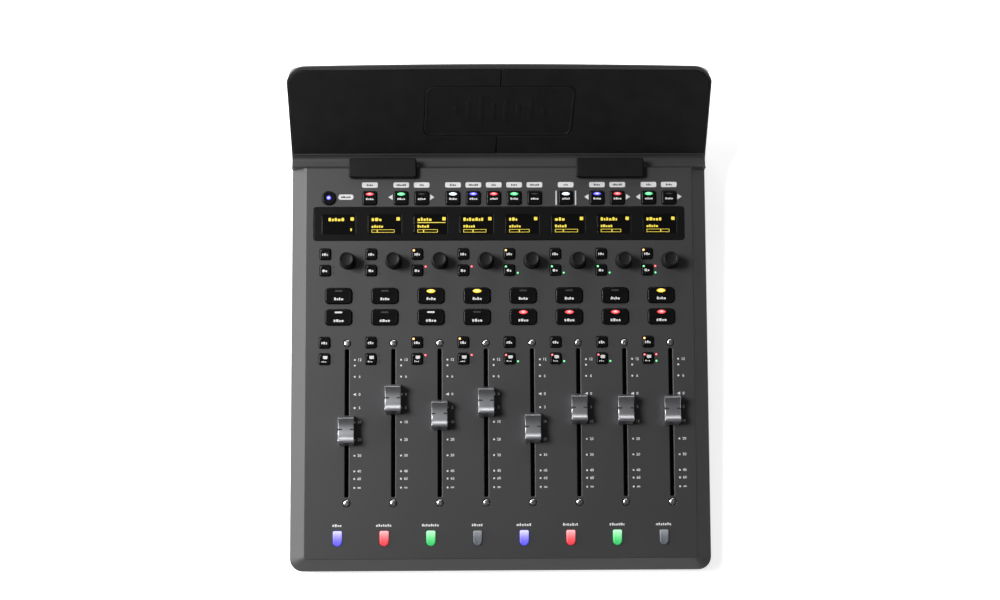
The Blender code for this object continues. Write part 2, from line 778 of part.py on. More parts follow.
def make_single_keys():
    wide = rectangle(WIDE_KEY, 3.0)
    wide_flange = rectangle((WIDE_KEY[0] + 1.8, WIDE_KEY[1] + 1.6), 3.0)
    for index in range(COLUMNS):
        number = index + 1
        u = column(index)
        make_key(f"solo_key_{number}", in_frame(DECK, u + WIDE_SHIFT, SOLO_V), wide, wide_flange)
        make_key(f"mute_key_{number}", in_frame(DECK, u + WIDE_SHIFT, MUTE_V), wide, wide_flange)
        soft = in_frame(DECK, u + SOFT_SHIFT, SOFT_V)
        make_key(f"soft_key_{number}", soft, shield(SOFT_KEY), shield(SOFT_KEY, 1.0), 1.2)
    shift = in_frame(DECK, SHIFT_KEY_U, FUNCTION_V)
    make_key("shift_key", shift, circle(SHIFT_KEY_RADIUS, 16), circle(SHIFT_KEY_RADIUS + 1, 16))


def make_key_mat(name, origin, web_blocks, keys, size):
    """Rubber mat: a web below the deck joins keys that stand through it."""

    def web(mesh):
        u, v = web_blocks[0]
        block(mesh, u, v, (WEB_BOTTOM, WEB_TOP))

    def fingers(mesh):
        for u, v in web_blocks[1:]:
            block(mesh, u, v, (WEB_BOTTOM + 0.05, WEB_TOP - 0.05))

    def caps(mesh):
        plunger = rectangle((3, 3))
        cap = rectangle(size)
        for u, v in keys:
            stack(
                mesh,
                (shifted(plunger, u, v), PLUNGER_BOTTOM),
                (shifted(plunger, u, v), WEB_BOTTOM + 0.1),
                (shifted(cap, u, v), WEB_BOTTOM + 0.1),
                (shifted(cap, u, v), KEY_TOP),
            )

    frame = in_frame(DECK, *origin)
    shift_back = Matrix.Translation(Vector((-origin[0], -origin[1], 0)) * MM)
    mat = new_object(name, web, frame, "key")
    tools = [new_object("cutter_" + name + "_keys", caps, frame @ shift_back)]
    if len(web_blocks) > 1:
        tools.insert(0, new_object("cutter_" + name + "_web", fingers, frame @ shift_back))
    mat.data.transform(shift_back)
    combine(mat, "UNION", *tools)


def make_key_mats():
    places = function_key_places()
    make_key_mat(
        "function_key_mat",
        (sum(places) / len(places), FUNCTION_V),
        [((places[0] - 6.6, places[-1] + 6.6), (FUNCTION_V - 6.6, FUNCTION_V + 6.6))],
        [(u, FUNCTION_V) for u in places],
        FUNCTION_KEY,
    )
    rows = (
        ("upper_key_mat", UPPER_ROWS, UPPER_SHIFT, (207.2, 210.7), 236.6),
        ("lower_key_mat", LOWER_ROWS, LOWER_SHIFT, (169.6, 173.6), 145.8),
    )
    for name, v_rows, shift, spine, tip in rows:
        first, last = column(0) + shift, column(COLUMNS - 1) + shift
        blocks = [((first - 5.3, last + 5.3), spine)]
        keys = []
        for index in range(COLUMNS):
            u = column(index) + shift
            blocks.append(((u - 5.2, u + 5.2), (min(tip, spine[0] + 1), max(tip, spine[1] - 1))))
            keys += [(u, v) for v in v_rows]
        make_key_mat(name, (column(0) + shift, sum(v_rows) / 2), blocks, keys, SMALL_KEY)


def make_knobs():
    bore = ((0, 10.8), (3.7, 10.8), (3.7, 0.6))
    skin = ((6.4, 0.6), (6.3, 2.2), (5.6, 12.9), (5.2, 13.8), (0, 13.8))
    for index in range(COLUMNS):
        frame = in_frame(DECK, column(index), KNOB_V)
        new_object(f"knob_{index + 1}", lambda mesh: turned(mesh, bore + skin, 16), frame, "rubber")


def build_fader_cap(mesh):
    """Cap with a scooped top. It slides along v, and its mark is at the origin."""
    profile = [(-12.4, 1.0), (10.6, 1.0), (8.7, 11.2)]
    reach, depth, crest = 8.2, 2.0, 11.6
    for step in range(9):
        v = reach - 2 * reach * step / 8
        profile.append((v - 0.3, crest - depth * (1 - (v / reach) ** 2)))
    profile.append((-9.7, 11.0))
    sideways_prism(mesh, profile, 6.15)


def build_fader_lever(mesh):
    """Thin lever through the slot, and the carriage that runs in the fader frame."""
    block(mesh, (-0.7, 0.7), (-4, 4), (-7, 2.0))


def build_fader_carriage(mesh):
    block(mesh, (-2.4, 2.4), (-5, 5), (-13, -6))


def make_fader_caps():
    for index, rest in enumerate(FADER_REST):
        number = index + 1
        frame = in_frame(DECK, column(index), FADER_V + rest)
        cap = new_object(f"fader_cap_{number}", build_fader_cap, frame, "fader_cap")
        lever = new_object(f"cutter_lever_{number}", build_fader_lever, frame)
        carriage = new_object(f"cutter_carriage_{number}", build_fader_carriage, frame)
        combine(cap, "UNION", lever, carriage)


def make_power_switch():
    """Rocker in the rear wall, turning about X. Its face is two flats in a shallow V."""
    face, tilt = 2.8, math.tan(math.radians(14))
    profile = [(face, -7), (face, 0), (face + 7 * tilt, 7), (0.5, 6), (-4, 3), (-4, -3), (0.5, -6)]

    def build(mesh):
        sideways_prism(mesh, profile, 4.6)

    frame = TO_ORIGIN @ Matrix.Translation(Vector((SWITCH_X, REAR_WALL_Y - 2.5, SWITCH_Z)) * MM)
    new_object("power_switch", build, frame, "key")


def make_console():
    make_top_case()
    make_bottom_tray()
    make_rear_cover()
    make_backrest()
    make_tablet_stops()
    make_feet()
    make_display_lens()
    make_control_board()
    make_soft_key_board()
    make_fader_bank()
    make_connector_board()
    make_power_switch()
    make_key_mats()
    make_single_keys()
    make_knobs()
    make_fader_caps()


clear_scene()
MATERIALS = {name: make_material(name) for name in COLOURS}
make_console()
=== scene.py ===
"""Looks for the eight-fader mixing console with a tablet backrest.

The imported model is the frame, and every piece here rides on one of its bodies. Lengths
are in millimetres until a mesh is made. Three frames place everything:

PLAN      x to the right, y to the rear from the case's front face, z up
DECK      u to the right, v up the deck from its front edge, w out of the deck
BACKREST  the same letters for the sloping face that a tablet leans on
"""

import json
import math

import bmesh
import bpy
from mathutils import Matrix, Vector


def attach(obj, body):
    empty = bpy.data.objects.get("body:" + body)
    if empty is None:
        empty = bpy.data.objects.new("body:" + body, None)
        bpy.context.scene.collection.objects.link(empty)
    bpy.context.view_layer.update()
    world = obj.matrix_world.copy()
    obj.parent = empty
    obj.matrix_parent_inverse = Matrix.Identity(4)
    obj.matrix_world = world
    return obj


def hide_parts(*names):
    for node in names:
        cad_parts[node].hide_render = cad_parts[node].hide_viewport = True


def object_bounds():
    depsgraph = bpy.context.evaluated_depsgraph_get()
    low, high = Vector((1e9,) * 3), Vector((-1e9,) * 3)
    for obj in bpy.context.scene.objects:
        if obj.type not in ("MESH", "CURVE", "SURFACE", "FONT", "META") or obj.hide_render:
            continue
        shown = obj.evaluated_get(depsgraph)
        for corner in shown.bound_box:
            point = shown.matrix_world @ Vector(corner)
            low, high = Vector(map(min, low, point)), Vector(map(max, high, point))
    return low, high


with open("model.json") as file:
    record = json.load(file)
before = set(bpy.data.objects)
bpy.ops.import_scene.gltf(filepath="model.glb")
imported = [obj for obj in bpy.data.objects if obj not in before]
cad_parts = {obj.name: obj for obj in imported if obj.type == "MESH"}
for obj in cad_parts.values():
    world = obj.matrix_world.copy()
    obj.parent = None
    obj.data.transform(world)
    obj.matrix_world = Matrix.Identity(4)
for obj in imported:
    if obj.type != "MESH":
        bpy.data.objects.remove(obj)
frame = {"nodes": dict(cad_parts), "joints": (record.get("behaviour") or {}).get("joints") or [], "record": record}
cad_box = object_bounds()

MM = 0.001
NODES = frame["nodes"]


# Frames.


def named(items, name):
    return next(item for item in items if item["name"] == name)


def slope_frame(place, normal, u, v, w):
    """Frame whose w axis is the normal, and where the place has the coordinates u, v, w."""
    slope = math.atan2(-normal[1], normal[2])
    origin = Matrix.Translation(Vector(place)) @ Matrix.Rotation(slope, 4, "X")
    return origin @ Matrix.Translation(-Vector((u, v, w)) * MM)


KNOB_V = 226.0
FIRST_KNOB = named(frame["joints"], "knob_1_turn")
BACK_FACE = named(frame["record"]["mounts"], "backrest_face")

PLAN = Matrix.Translation((0, cad_box[0][1], 0))
DECK = slope_frame(FIRST_KNOB["pos_m"], FIRST_KNOB["axis"], FIRST_KNOB["pos_m"][0] / MM, KNOB_V, 0)
BACKREST = slope_frame(BACK_FACE["pos_m"], BACK_FACE["axis"], 105, 35, 0.2)


def at(place, u, v, w=0.0):
    return place @ Matrix.Translation(Vector((u, v, w)) * MM)


def deck_points(node):
    """All u and all v values of a CAD node's points."""
    to_deck = DECK.inverted()
    points = [to_deck @ vertex.co / MM for vertex in NODES[node].data.vertices]
    return [point.x for point in points], [point.y for point in points]


def centre_on_deck(node):
    """Middle of a CAD node in u and v."""
    us, vs = deck_points(node)
    return (min(us) + max(us)) / 2, (min(vs) + max(vs)) / 2


# Driving dimensions, the same as the CAD model's.

COLUMNS = [named(frame["joints"], f"knob_{n}_turn")["pos_m"][0] / MM for n in range(1, 9)]
FADER_V = 102.4
SLOT, SLOT_RIM = (2.8, 112.0), 0.9
SCREW_ROWS = (FADER_V - 60.5, FADER_V + 60.5)
LOWER_ROWS, LOWER_SHIFT = (150.9, 163.5), -17.2
UPPER_ROWS, UPPER_SHIFT = (218.8, 231.4), -17.0
FUNCTION_V = 274.8
FUNCTION_GROUPS = (1, 2, 5, 1, 2, 2)
FUNCTION_START, FUNCTION_PITCH, FUNCTION_GAP = -99.6, 15.7, 24.1
SMALL_KEY, WIDE_KEY, FUNCTION_KEY, SOFT_KEY = (8.4, 8.6), (20.4, 12.1), (10.9, 10.6), (6.6, 11.3)
SHIFT_RADIUS = 5.3
KEY_GAP = 0.22
KEY_TOP = 1.4
KEY_FOOT = -2.7
KEY_FACE = KEY_TOP - 0.1
DISPLAY_V, DISPLAY_SHIFT = 254.9, -6.8
DISPLAY_SIZE, WINDOW_SIZE = (284.6, 25.5), (25.9, 15.4)

WIDTH, WALL, DECK_THICKNESS = 320.0, 2.2, 2.4
BEVEL_WIDTH, BEVEL_DROP, FRONT_CORNER = 11.5, 9.0, 10.0
SPLIT_Z, TRAY_BOTTOM, JOINT_GAP = 14.0, 3.0, 0.3
REAR_WALL_Y = 338.3
BACK_LENGTH, BACK_THICKNESS, BACK_PLATE, BACK_CORNER, BACK_BOW = 76.8, 9.0, 5.0, 17.0, 2.0
BACK_LIP, BACK_SLOPE = 1.2, math.tan(BACKREST.to_euler().x)
BACK_REAR_LENGTH = BACK_LENGTH - (BACK_THICKNESS - BACK_LIP) * BACK_SLOPE
PAD_LENGTH, PAD_DEPTH, PAD_MIDDLE, PAD_INSET = 73.4, 2.0, -0.35, 1.1
PAD_LEAN = math.tan(math.radians(3.2))
BADGE_SIZE, BADGE_V = (113.0, 42.3), 36.9

DECK_Y, DECK_Z = ((PLAN.inverted() @ DECK.translation) / MM)[1:]
DECK_RISE = math.tan(DECK.to_euler().x)
DECK_LENGTH = 298.6
CREASE_Y = DECK_Y + DECK_LENGTH * math.cos(math.atan(DECK_RISE))


def function_key_places():
    places = []
    u = FUNCTION_START
    for group in FUNCTION_GROUPS:
        places += [u + FUNCTION_PITCH * n for n in range(group)]
        u = places[-1] + FUNCTION_GAP
    return places


FUNCTION_PLACES = function_key_places()


# Outlines: lists of (a, b) points, counter-clockwise.


def arc(centre, radius, start, end, segments):
    points = []
    for step in range(segments + 1):
        angle = math.radians(start + (end - start) * step / segments)
        points.append((centre[0] + radius * math.cos(angle), centre[1] + radius * math.sin(angle)))
    return points


def circle(radius, segments=32):
    return arc((0, 0), radius, 0, 360, segments)[:-1]


def ellipse(width, height, segments=24):
    return [(a * width / 2, b * height / 2) for a, b in circle(1, segments)]


def rectangle(size, corner=0.0, segments=4):
    a, b = size[0] / 2, size[1] / 2
    if not corner:
        return [(a, -b), (a, b), (-a, b), (-a, -b)]
    points = []
    for quarter, (sx, sy) in enumerate(((1, 1), (-1, 1), (-1, -1), (1, -1))):
        centre = (sx * (a - corner), sy * (b - corner))
        points += arc(centre, corner, 90 * quarter, 90 * quarter + 90, segments)
    return points


def shield(size):
    """Soft key outline: two small corners at the rear, a half circle at the front."""
    half, rear, corner = size[0] / 2, size[1] / 2, 1.0
    points = arc((half - corner, rear - corner), corner, 0, 90, 4)
    points += arc((corner - half, rear - corner), corner, 90, 180, 4)
    return points + arc((0, half - rear), half, 180, 360, 16)


def moved(outline, u, v):
    return [(a + u, b + v) for a, b in outline]


def grown(outline, distance):
    """The outline moved outwards, or inwards where distance is negative."""
    points = [Vector(point) for point in outline]
    result = []
    for i, here in enumerate(points):
        into = (here - points[i - 1]).normalized()
        away = (points[(i + 1) % len(points)] - here).normalized()
        first, second = Vector((into.y, -into.x)), Vector((away.y, -away.x))
        shift = (first + second) / max(1 + first.dot(second), 0.3)
        result.append(tuple(here + shift * distance))
    return result


def rounded_path(corners, segments=4):
    """Closed path through (a, b, radius) corners."""
    path = []
    for i, (a, b, radius) in enumerate(corners):
        here = Vector((a, b))
        if not radius:
            path.append((a, b))
            continue
        before = (Vector(corners[i - 1][:2]) - here).normalized()
        after = (Vector(corners[(i + 1) % len(corners)][:2]) - here).normalized()
        half = before.angle(after) / 2
        centre = here + (before + after).normalized() * radius / math.sin(half)
        start = here + before * radius / math.tan(half) - centre
        end = here + after * radius / math.tan(half) - centre
        turn = math.atan2(start.x * end.y - start.y * end.x, start.dot(end))
        for step in range(segments + 1):
            angle = turn * step / segments
            turned_start = Matrix.Rotation(angle, 2) @ start
            path.append(tuple(centre + turned_start))
    return path


# Solids in a bmesh.


def ring(mesh, outline, level):
    return [mesh.verts.new(Vector((a, b, level)) * MM) for a, b in outline]


def join_rings(mesh, lower, upper):
    for i in range(len(lower)):
        j = (i + 1) % len(lower)
        mesh.faces.new((lower[i], lower[j], upper[j], upper[i]))


def stack(mesh, *levels):
    """Closed solid through (outline, level) pairs that share a number of points."""
    rings = [ring(mesh, outline, level) for outline, level in levels]
    mesh.faces.new(list(reversed(rings[0])))
    for lower, upper in zip(rings, rings[1:]):
        join_rings(mesh, lower, upper)
    mesh.faces.new(rings[-1])


def edge_levels(outline, top, radius, steps=3):
    """Levels that turn a solid's side into its top over a rounded edge."""
    levels = []
    for step in range(steps + 1):
        angle = math.pi / 2 * step / steps
        levels.append((grown(outline, radius * (math.cos(angle) - 1)), top + radius * (math.sin(angle) - 1)))
    return levels


def slab(mesh, outline, bottom, top, radius, steps=3):
    """Solid with rounded edges at the top."""
    stack(mesh, (outline, bottom), *edge_levels(outline, top, radius, steps))


def plate(mesh, outline, bottom, top):
    stack(mesh, (outline, bottom), (outline, top))


def tube(mesh, *levels):
    """Closed ring through (outline, level) pairs, whose last pair joins the first."""
    rings = [ring(mesh, outline, level) for outline, level in levels]
    for lower, upper in zip(rings, rings[1:] + rings[:1]):
        join_rings(mesh, lower, upper)


def block(mesh, u, v, w):
    plate(mesh, [(u[1], v[0]), (u[1], v[1]), (u[0], v[1]), (u[0], v[0])], *w)


def turned(mesh, profile, segments=48, u=0.0, v=0.0):
    """Body of revolution about w, from a profile that starts and ends on the axis."""
    rings = []
    for radius, level in profile:
        if radius:
            rings.append(ring(mesh, moved(circle(radius, segments), u, v), level))
        else:
            rings.append([mesh.verts.new(Vector((u, v, level)) * MM)])
    for lower, upper in zip(rings, rings[1:]):
        if len(lower) > 1 and len(upper) > 1:
            join_rings(mesh, lower, upper)
            continue
        pole, rim = (lower, upper) if len(lower) == 1 else (upper, lower)
        for i in range(segments):
            mesh.faces.new((pole[0], rim[i], rim[(i + 1) % segments]))


def sideways_prism(mesh, profile, stations):
    """Prism along X from a (y, z) profile, with a ring of points at each station."""
    rings = [[mesh.verts.new(Vector((x, y, z)) * MM) for y, z in profile] for x in stations]
    mesh.faces.new(rings[0])
    mesh.faces.new(list(reversed(rings[-1])))
    for lower, upper in zip(rings, rings[1:]):
        join_rings(mesh, upper, lower)


def raw_mesh(name, build):
    mesh = bmesh.new()
    build(mesh)
    bmesh.ops.recalc_face_normals(mesh, faces=mesh.faces)
    data = bpy.data.meshes.new(name)
    mesh.to_mesh(data)
    mesh.free()
    return data


def carved_mesh(name, build, place, removed, joined=()):
    """Mesh of a solid after (build, place) solids are joined to it and removed from it."""
    base = bpy.data.objects.new(name, raw_mesh(name, build))
    base.matrix_world = place
    helpers = [base]
    for operation, group in (("UNION", joined), ("DIFFERENCE", removed)):
        for tool_build, tool_place in group:
            tool = bpy.data.objects.new("helper", raw_mesh("helper", tool_build))
            tool.matrix_world = tool_place
            modifier = base.modifiers.new(operation, "BOOLEAN")
            modifier.operation = operation
            modifier.solver = "EXACT"
            modifier.object = tool
            helpers.append(tool)
    for item in helpers:
        bpy.context.scene.collection.objects.link(item)
    graph = bpy.context.evaluated_depsgraph_get()
    data = bpy.data.meshes.new_from_object(base.evaluated_get(graph))
    for item in helpers:
        bpy.data.objects.remove(item, do_unlink=True)
    return data


def piece(name, source, place, material, body="console", stands_for=(), sharp=32):
    """Object on a CAD body. The source is a build function or a finished mesh."""
    data = source if isinstance(source, bpy.types.Mesh) else raw_mesh(name, source)
    data.name = name
    data.materials.clear()
    data.materials.append(material)
    item = bpy.data.objects.new(name, data)
    item.matrix_world = place
    bpy.context.scene.collection.objects.link(item)
    data.shade_smooth()
    data.set_sharp_from_angle(angle=math.radians(sharp))
    normals = item.modifiers.new("weighted_normals", "WEIGHTED_NORMAL")
    normals.keep_sharp = True
    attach(item, body)
    if stands_for:
        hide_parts(*stands_for)
    return item


# Materials.


class Surface:
    """A Principled material whose colour, gloss and relief vary over the surface."""

    def __init__(self, name, roughness=0.5, metallic=0.0):
        self.material = bpy.data.materials.new(name)
        self.material.use_nodes = True
        self.tree = self.material.node_tree
        self.shader = self.tree.nodes["Principled BSDF"]
        self.shader.inputs["Roughness"].default_value = roughness
        self.shader.inputs["Metallic"].default_value = metallic
        self.place = self.tree.nodes.new("ShaderNodeTexCoord").outputs["Object"]
        self.relief = None

    def noise(self, grain, detail=3.0, stretch=(1, 1, 1)):
        """Noise whose grains are about that many millimetres across."""
        mapping = self.tree.nodes.new("ShaderNodeMapping")
        mapping.inputs["Scale"].default_value = stretch
        self.tree.links.new(self.place, mapping.inputs["Vector"])
        noise = self.tree.nodes.new("ShaderNodeTexNoise")
        noise.inputs["Scale"].default_value = 1000 / grain
        noise.inputs["Detail"].default_value = detail
        self.tree.links.new(mapping.outputs["Vector"], noise.inputs["Vector"])
        return noise.outputs["Fac"]

    def spread(self, value, low, high, start=0.3, end=0.7):
        """A value between start and end, where most noise lies, turned into low to high."""
        node = self.tree.nodes.new("ShaderNodeMapRange")
        node.inputs["From Min"].default_value = start
        node.inputs["From Max"].default_value = end
        node.inputs["To Min"].default_value = low
        node.inputs["To Max"].default_value = high
        self.tree.links.new(value, node.inputs["Value"])
        return node.outputs["Result"]

    def colour(self, first, second, factor, target="Base Color"):
        """A mix of two colours, as the base colour or another of the shader's colours."""
        mix = self.tree.nodes.new("ShaderNodeMix")
        mix.data_type = "RGBA"
        mix.inputs[6].default_value = (*first, 1)
        mix.inputs[7].default_value = (*second, 1)
        self.tree.links.new(factor, mix.inputs[0])
        self.tree.links.new(mix.outputs[2], self.shader.inputs[target])

    def gloss(self, value, low, high):
        self.tree.links.new(self.spread(value, low, high), self.shader.inputs["Roughness"])

    def bump(self, value, height):
        """Relief of that height in millimetres, on top of any relief there already."""
        node = self.tree.nodes.new("ShaderNodeBump")
        node.inputs["Distance"].default_value = height * MM
        self.tree.links.new(value, node.inputs["Height"])
        if self.relief:
            self.tree.links.new(self.relief, node.inputs["Normal"])
        self.relief = node.outputs["Normal"]
        self.tree.links.new(self.relief, self.shader.inputs["Normal"])

    def set(self, **values):
        """Constant values, by the names of the shader's sockets."""
        for key, value in values.items():
            socket = key.replace("_", " ").title().replace("Ior", "IOR")
            self.shader.inputs[socket].default_value = value


def scaled(colour, factor):
    return tuple(channel * factor for channel in colour)


def plain(name, colour, roughness, grain=0.5, relief=0.01, cloud=30.0, variation=0.12, metallic=0.0):
    """Moulded, painted or rubbery finish: fine grain over broad, faint clouds."""
    surface = Surface(name, roughness, metallic)
    broad, fine = surface.noise(cloud), surface.noise(grain, 2.0)
    factor = surface.spread(broad, 0, 1)
    surface.colour(scaled(colour, 1 - variation), scaled(colour, 1 + variation), factor)
    surface.gloss(fine, roughness * 0.88, roughness * 1.12)
    surface.bump(fine, relief)
    return surface


def brushed(name, colour, roughness):
    """Metal with fine lines along one axis."""
    surface = Surface(name, roughness, 1.0)
    lines, broad = surface.noise(0.25, 2.0, (0.04, 1, 1)), surface.noise(12.0)
    surface.colour(scaled(colour, 0.88), scaled(colour, 1.1), surface.spread(broad, 0, 1))
    surface.gloss(lines, roughness - 0.08, roughness + 0.1)
    surface.bump(lines, 0.004)
    return surface


def glowing(name, colour, strength, rim=0.25):
    """Lit plastic: brightest where the mesh's glow value is 1."""
    surface = plain(name, scaled(colour, 0.5), 0.35, 0.8, 0.004, 3.0)
    attribute = surface.tree.nodes.new("ShaderNodeAttribute")
    attribute.attribute_name = "glow"
    glow = attribute.outputs["Fac"]
    level = surface.spread(glow, strength * rim, strength, 0, 1)
    surface.tree.links.new(level, surface.shader.inputs["Emission Strength"])
    power = surface.tree.nodes.new("ShaderNodeMath")
    power.operation = "POWER"
    power.inputs[1].default_value = 1.5
    surface.tree.links.new(glow, power.inputs[0])
    heart = tuple(0.5 + 0.5 * channel for channel in colour)
    surface.colour(colour, heart, power.outputs[0], "Emission Color")
    return surface


# Colour, roughness, grain and relief of the fine noise, size and depth of the clouds.
PLAIN_FINISHES = {
    "paint": ("case_paint", (0.0325, 0.0325, 0.0342), 0.44, 0.28, 0.012, 60.0, 0.05),
    "tray": ("tray_paint", (0.040, 0.040, 0.042), 0.5, 0.35, 0.02, 40.0, 0.08),
    "pad": ("pad_rubber", (0.0082, 0.0082, 0.0084), 0.55, 0.45, 0.03, 18.0, 0.18),
    "badge": ("badge_plastic", (0.0088, 0.0088, 0.0092), 0.45, 0.3, 0.012, 14.0, 0.12),
    "stop": ("stop_rubber", (0.0042, 0.0042, 0.0044), 0.5, 0.5, 0.05, 9.0, 0.2),
    "key": ("key_plastic", (0.0040, 0.0040, 0.0043), 0.25, 0.35, 0.01, 6.0, 0.15),
    "knob": ("knob_rubber", (0.0095, 0.0095, 0.0098), 0.42, 0.4, 0.03, 5.0, 0.2),
    "bezel": ("display_bezel", (0.0060, 0.0060, 0.0064), 0.28, 0.3, 0.006, 25.0, 0.12),
    "glass": ("display_glass", (0.0016, 0.0014, 0.0013), 0.16, 2.0, 0.002, 8.0, 0.2),
    "ink": ("white_ink", (0.58, 0.58, 0.58), 0.55, 0.3, 0.004, 4.0, 0.06),
    "dim_ink": ("dark_ink", (0.02, 0.02, 0.022), 0.6, 0.3, 0.004, 4.0, 0.1),
    "dead": ("unlit_lamp", (0.035, 0.035, 0.038), 0.3, 0.6, 0.004, 3.0, 0.2),
    "cap": ("cap_lacquer", (0.50, 0.505, 0.53), 0.33, 0.22, 0.005, 5.0, 0.05, 0.95),
    "ground": ("foot_rubber", (0.012, 0.012, 0.012), 0.8, 0.6, 0.06, 8.0, 0.2),
    "socket": ("socket_plastic", (0.008, 0.008, 0.008), 0.45, 0.4, 0.01, 6.0, 0.15),
    "board": ("circuit_board", (0.012, 0.05, 0.022), 0.4, 0.6, 0.02, 5.0, 0.3),
}
METALS = {
    "steel": ("bright_steel", (0.72, 0.71, 0.70), 0.24),
    # Painted shade: this steel is made dark to stand in for the shade inside the fader slots, where the fader bank
    # and the cap levers show.
    "slot_shade_metal": ("blackened_steel", (0.035, 0.035, 0.037), 0.45),
    "gold": ("gold_contact", (0.85, 0.62, 0.25), 0.25),
}
# Colour and strength of the light, and the share of it that the rim gives.
LIGHTS = {
    "red": ("lamp_red", (1.0, 0.035, 0.05), 2.3),
    "green": ("lamp_green", (0.06, 0.85, 0.22), 2.3),
    "blue": ("lamp_blue", (0.07, 0.06, 1.0), 2.9),
    "white": ("lamp_white", (0.80, 0.92, 1.0), 2.4),
    "yellow": ("lamp_yellow", (1.0, 0.62, 0.02), 2.1),
    "orange": ("lamp_orange", (1.0, 0.50, 0.08), 3.2),
    "screen": ("screen_light", (0.95, 0.75, 0.09), 0.52, 1.0),
    "soft_blue": ("soft_blue", (0.13, 0.11, 0.95), 1.55, 0.35),
    "soft_red": ("soft_red", (0.95, 0.06, 0.08), 1.15, 0.35),
    "soft_green": ("soft_green", (0.05, 0.62, 0.16), 1.25, 0.35),
    "soft_grey": ("soft_grey", (0.16, 0.18, 0.21), 0.42, 0.35),
}


def make_materials():
    found = {}
    for kind, table in ((plain, PLAIN_FINISHES), (brushed, METALS), (glowing, LIGHTS)):
        found.update({name: kind(*values) for name, values in table.items()})
    for name in "paint", "tray":
        found[name].bump(found[name].noise(1.6, 2.0), 0.010)
    for name in "pad", "badge", "stop", "knob", "bezel", "key":
        found[name].set(specular_ior_level=0.16)
    found["cap"].set(coat_weight=0.35, coat_roughness=0.22)
    found["glass"].set(coat_weight=0.5, coat_roughness=0.06)
    return {name: surface.material for name, surface in found.items()}


M = make_materials()


# Case.


def deck_z(y):
    return DECK_Z + (y - DECK_Y) * DECK_RISE


def plan_outline(inset, rear, corner):
    """Case outline in plan, rounded at the front and square at the rear."""
    half, front = WIDTH / 2 - inset, inset * DECK_Y / BEVEL_WIDTH
    points = [(half, rear), (-half, rear)]
    points += arc((-half + corner, front + corner), corner, 180, 270, 10)
    return points + arc((half - corner, front + corner), corner, 270, 360, 10)


def deck_levels(mesh, rings):
    """Closed solid through (outline, z or None, depth below the deck) rings."""
    made = []
    for outline, z, below in rings:
        points = [(x, y, deck_z(y) - below if z is None else z) for x, y in outline]
        made.append([mesh.verts.new(Vector(point) * MM) for point in points])
    mesh.faces.new(list(reversed(made[0])))
    for lower, upper in zip(made, made[1:]):
        join_rings(mesh, lower, upper)
    mesh.faces.new(made[-1])


def build_wedge(mesh):
    """Deck, bevel and side walls, with a small radius along each of their edges."""
    edge = [(0, BEVEL_DROP, 1.8), (BEVEL_WIDTH, 0, 1.2), (BEVEL_WIDTH + 2.2, 0, 0)]
    path = rounded_path([(0, 30, 0), *edge, (60, 60, 0)], 5)[1:-1]
    rings = [(plan_outline(0.4, CREASE_Y, FRONT_CORNER - 0.4), SPLIT_Z, None)]
    rings.append((plan_outline(0, CREASE_Y, FRONT_CORNER), SPLIT_Z + 0.4, None))
    for inset, below in path:
        share = min(inset / BEVEL_WIDTH, 1.2)
        rings.append((plan_outline(inset, CREASE_Y, FRONT_CORNER - 7.6 * share), None, below))
    deck_levels(mesh, rings)


def build_wedge_hollow(mesh):
    rear = CREASE_Y - 5
    inner = plan_outline(WALL, rear, FRONT_CORNER - WALL)
    top = plan_outline(BEVEL_WIDTH + 1, rear, 1.5)
    levels = ((inner, SPLIT_Z - 5, None), (inner, None, BEVEL_DROP + 1.2), (top, None, DECK_THICKNESS))
    deck_levels(mesh, levels)


TO_PLAN = PLAN.inverted() @ BACKREST


def back_point(v, w):
    place = TO_PLAN @ (Vector((0, v, w)) * MM) / MM
    return place.y, place.z


def rear_wall_top(inset=0.0):
    """Height where the rear wall meets the underside of the backrest."""
    low, high = back_point(0, inset - BACK_THICKNESS), back_point(50, inset - BACK_THICKNESS)
    share = (REAR_WALL_Y - inset - low[0]) / (high[0] - low[0])
    return low[1] + share * (high[1] - low[1])


def build_rear_body(mesh):
    """Tablet channel, backrest and the walls below them."""
    floor_z = deck_z(CREASE_Y)
    corners = [
        (CREASE_Y, SPLIT_Z, 0),
        (CREASE_Y, floor_z - 0.1, 0),
        (CREASE_Y + 1.3, floor_z - 4.6, 2.2),
        (CREASE_Y + 10.3, floor_z - 5.7, 4.0),
        (*back_point(-1.5, 0), 0),
        (*back_point(BACK_LENGTH + BACK_LIP * BACK_SLOPE, 0), 1.0),
        (*back_point(BACK_REAR_LENGTH, -BACK_THICKNESS), 2.5),
        (REAR_WALL_Y, rear_wall_top(), 3.0),
        (REAR_WALL_Y, SPLIT_Z, 0.4),
    ]
    stations = [WIDTH / 2 * share / 8 for share in range(-8, 9)]
    sideways_prism(mesh, rounded_path(corners, 5), stations)


def build_rear_hollow(mesh):
    profile = [
        (CREASE_Y - 8, SPLIT_Z - 5),
        (CREASE_Y - 8, deck_z(CREASE_Y) - 8.2),
        back_point(-2, -BACK_PLATE),
        back_point(12, -BACK_PLATE),
        back_point(12, -40),
        (REAR_WALL_Y + 20, SPLIT_Z - 5),
    ]
    sideways_prism(mesh, profile, (WALL - WIDTH / 2, WIDTH / 2 - WALL))


def back_outline(inset, low, high, corner):
    """Outline in the backrest plane: square below, rounded at the two top corners."""
    half = WIDTH / 2 - inset
    points = [(-half, low), (half, low)]
    points += arc((half - corner, high - corner), corner, 0, 90, 12)
    return points + arc((-half + corner, high - corner), corner, 90, 180, 12)


def build_back_hollow(mesh):
    plate(mesh, back_outline(WALL, 6, BACK_REAR_LENGTH - 3.0, BACK_CORNER - WALL), -40, -BACK_PLATE)


def build_pad_recess(mesh):
    outline = back_outline(PAD_INSET - 0.3, -0.3, PAD_LENGTH + 0.3, BACK_CORNER - 3)
    rim = grown(outline, 0.45)
    stack(mesh, (outline, -PAD_DEPTH - 0.3), (outline, -0.3), (rim, 0.15), (rim, 5))


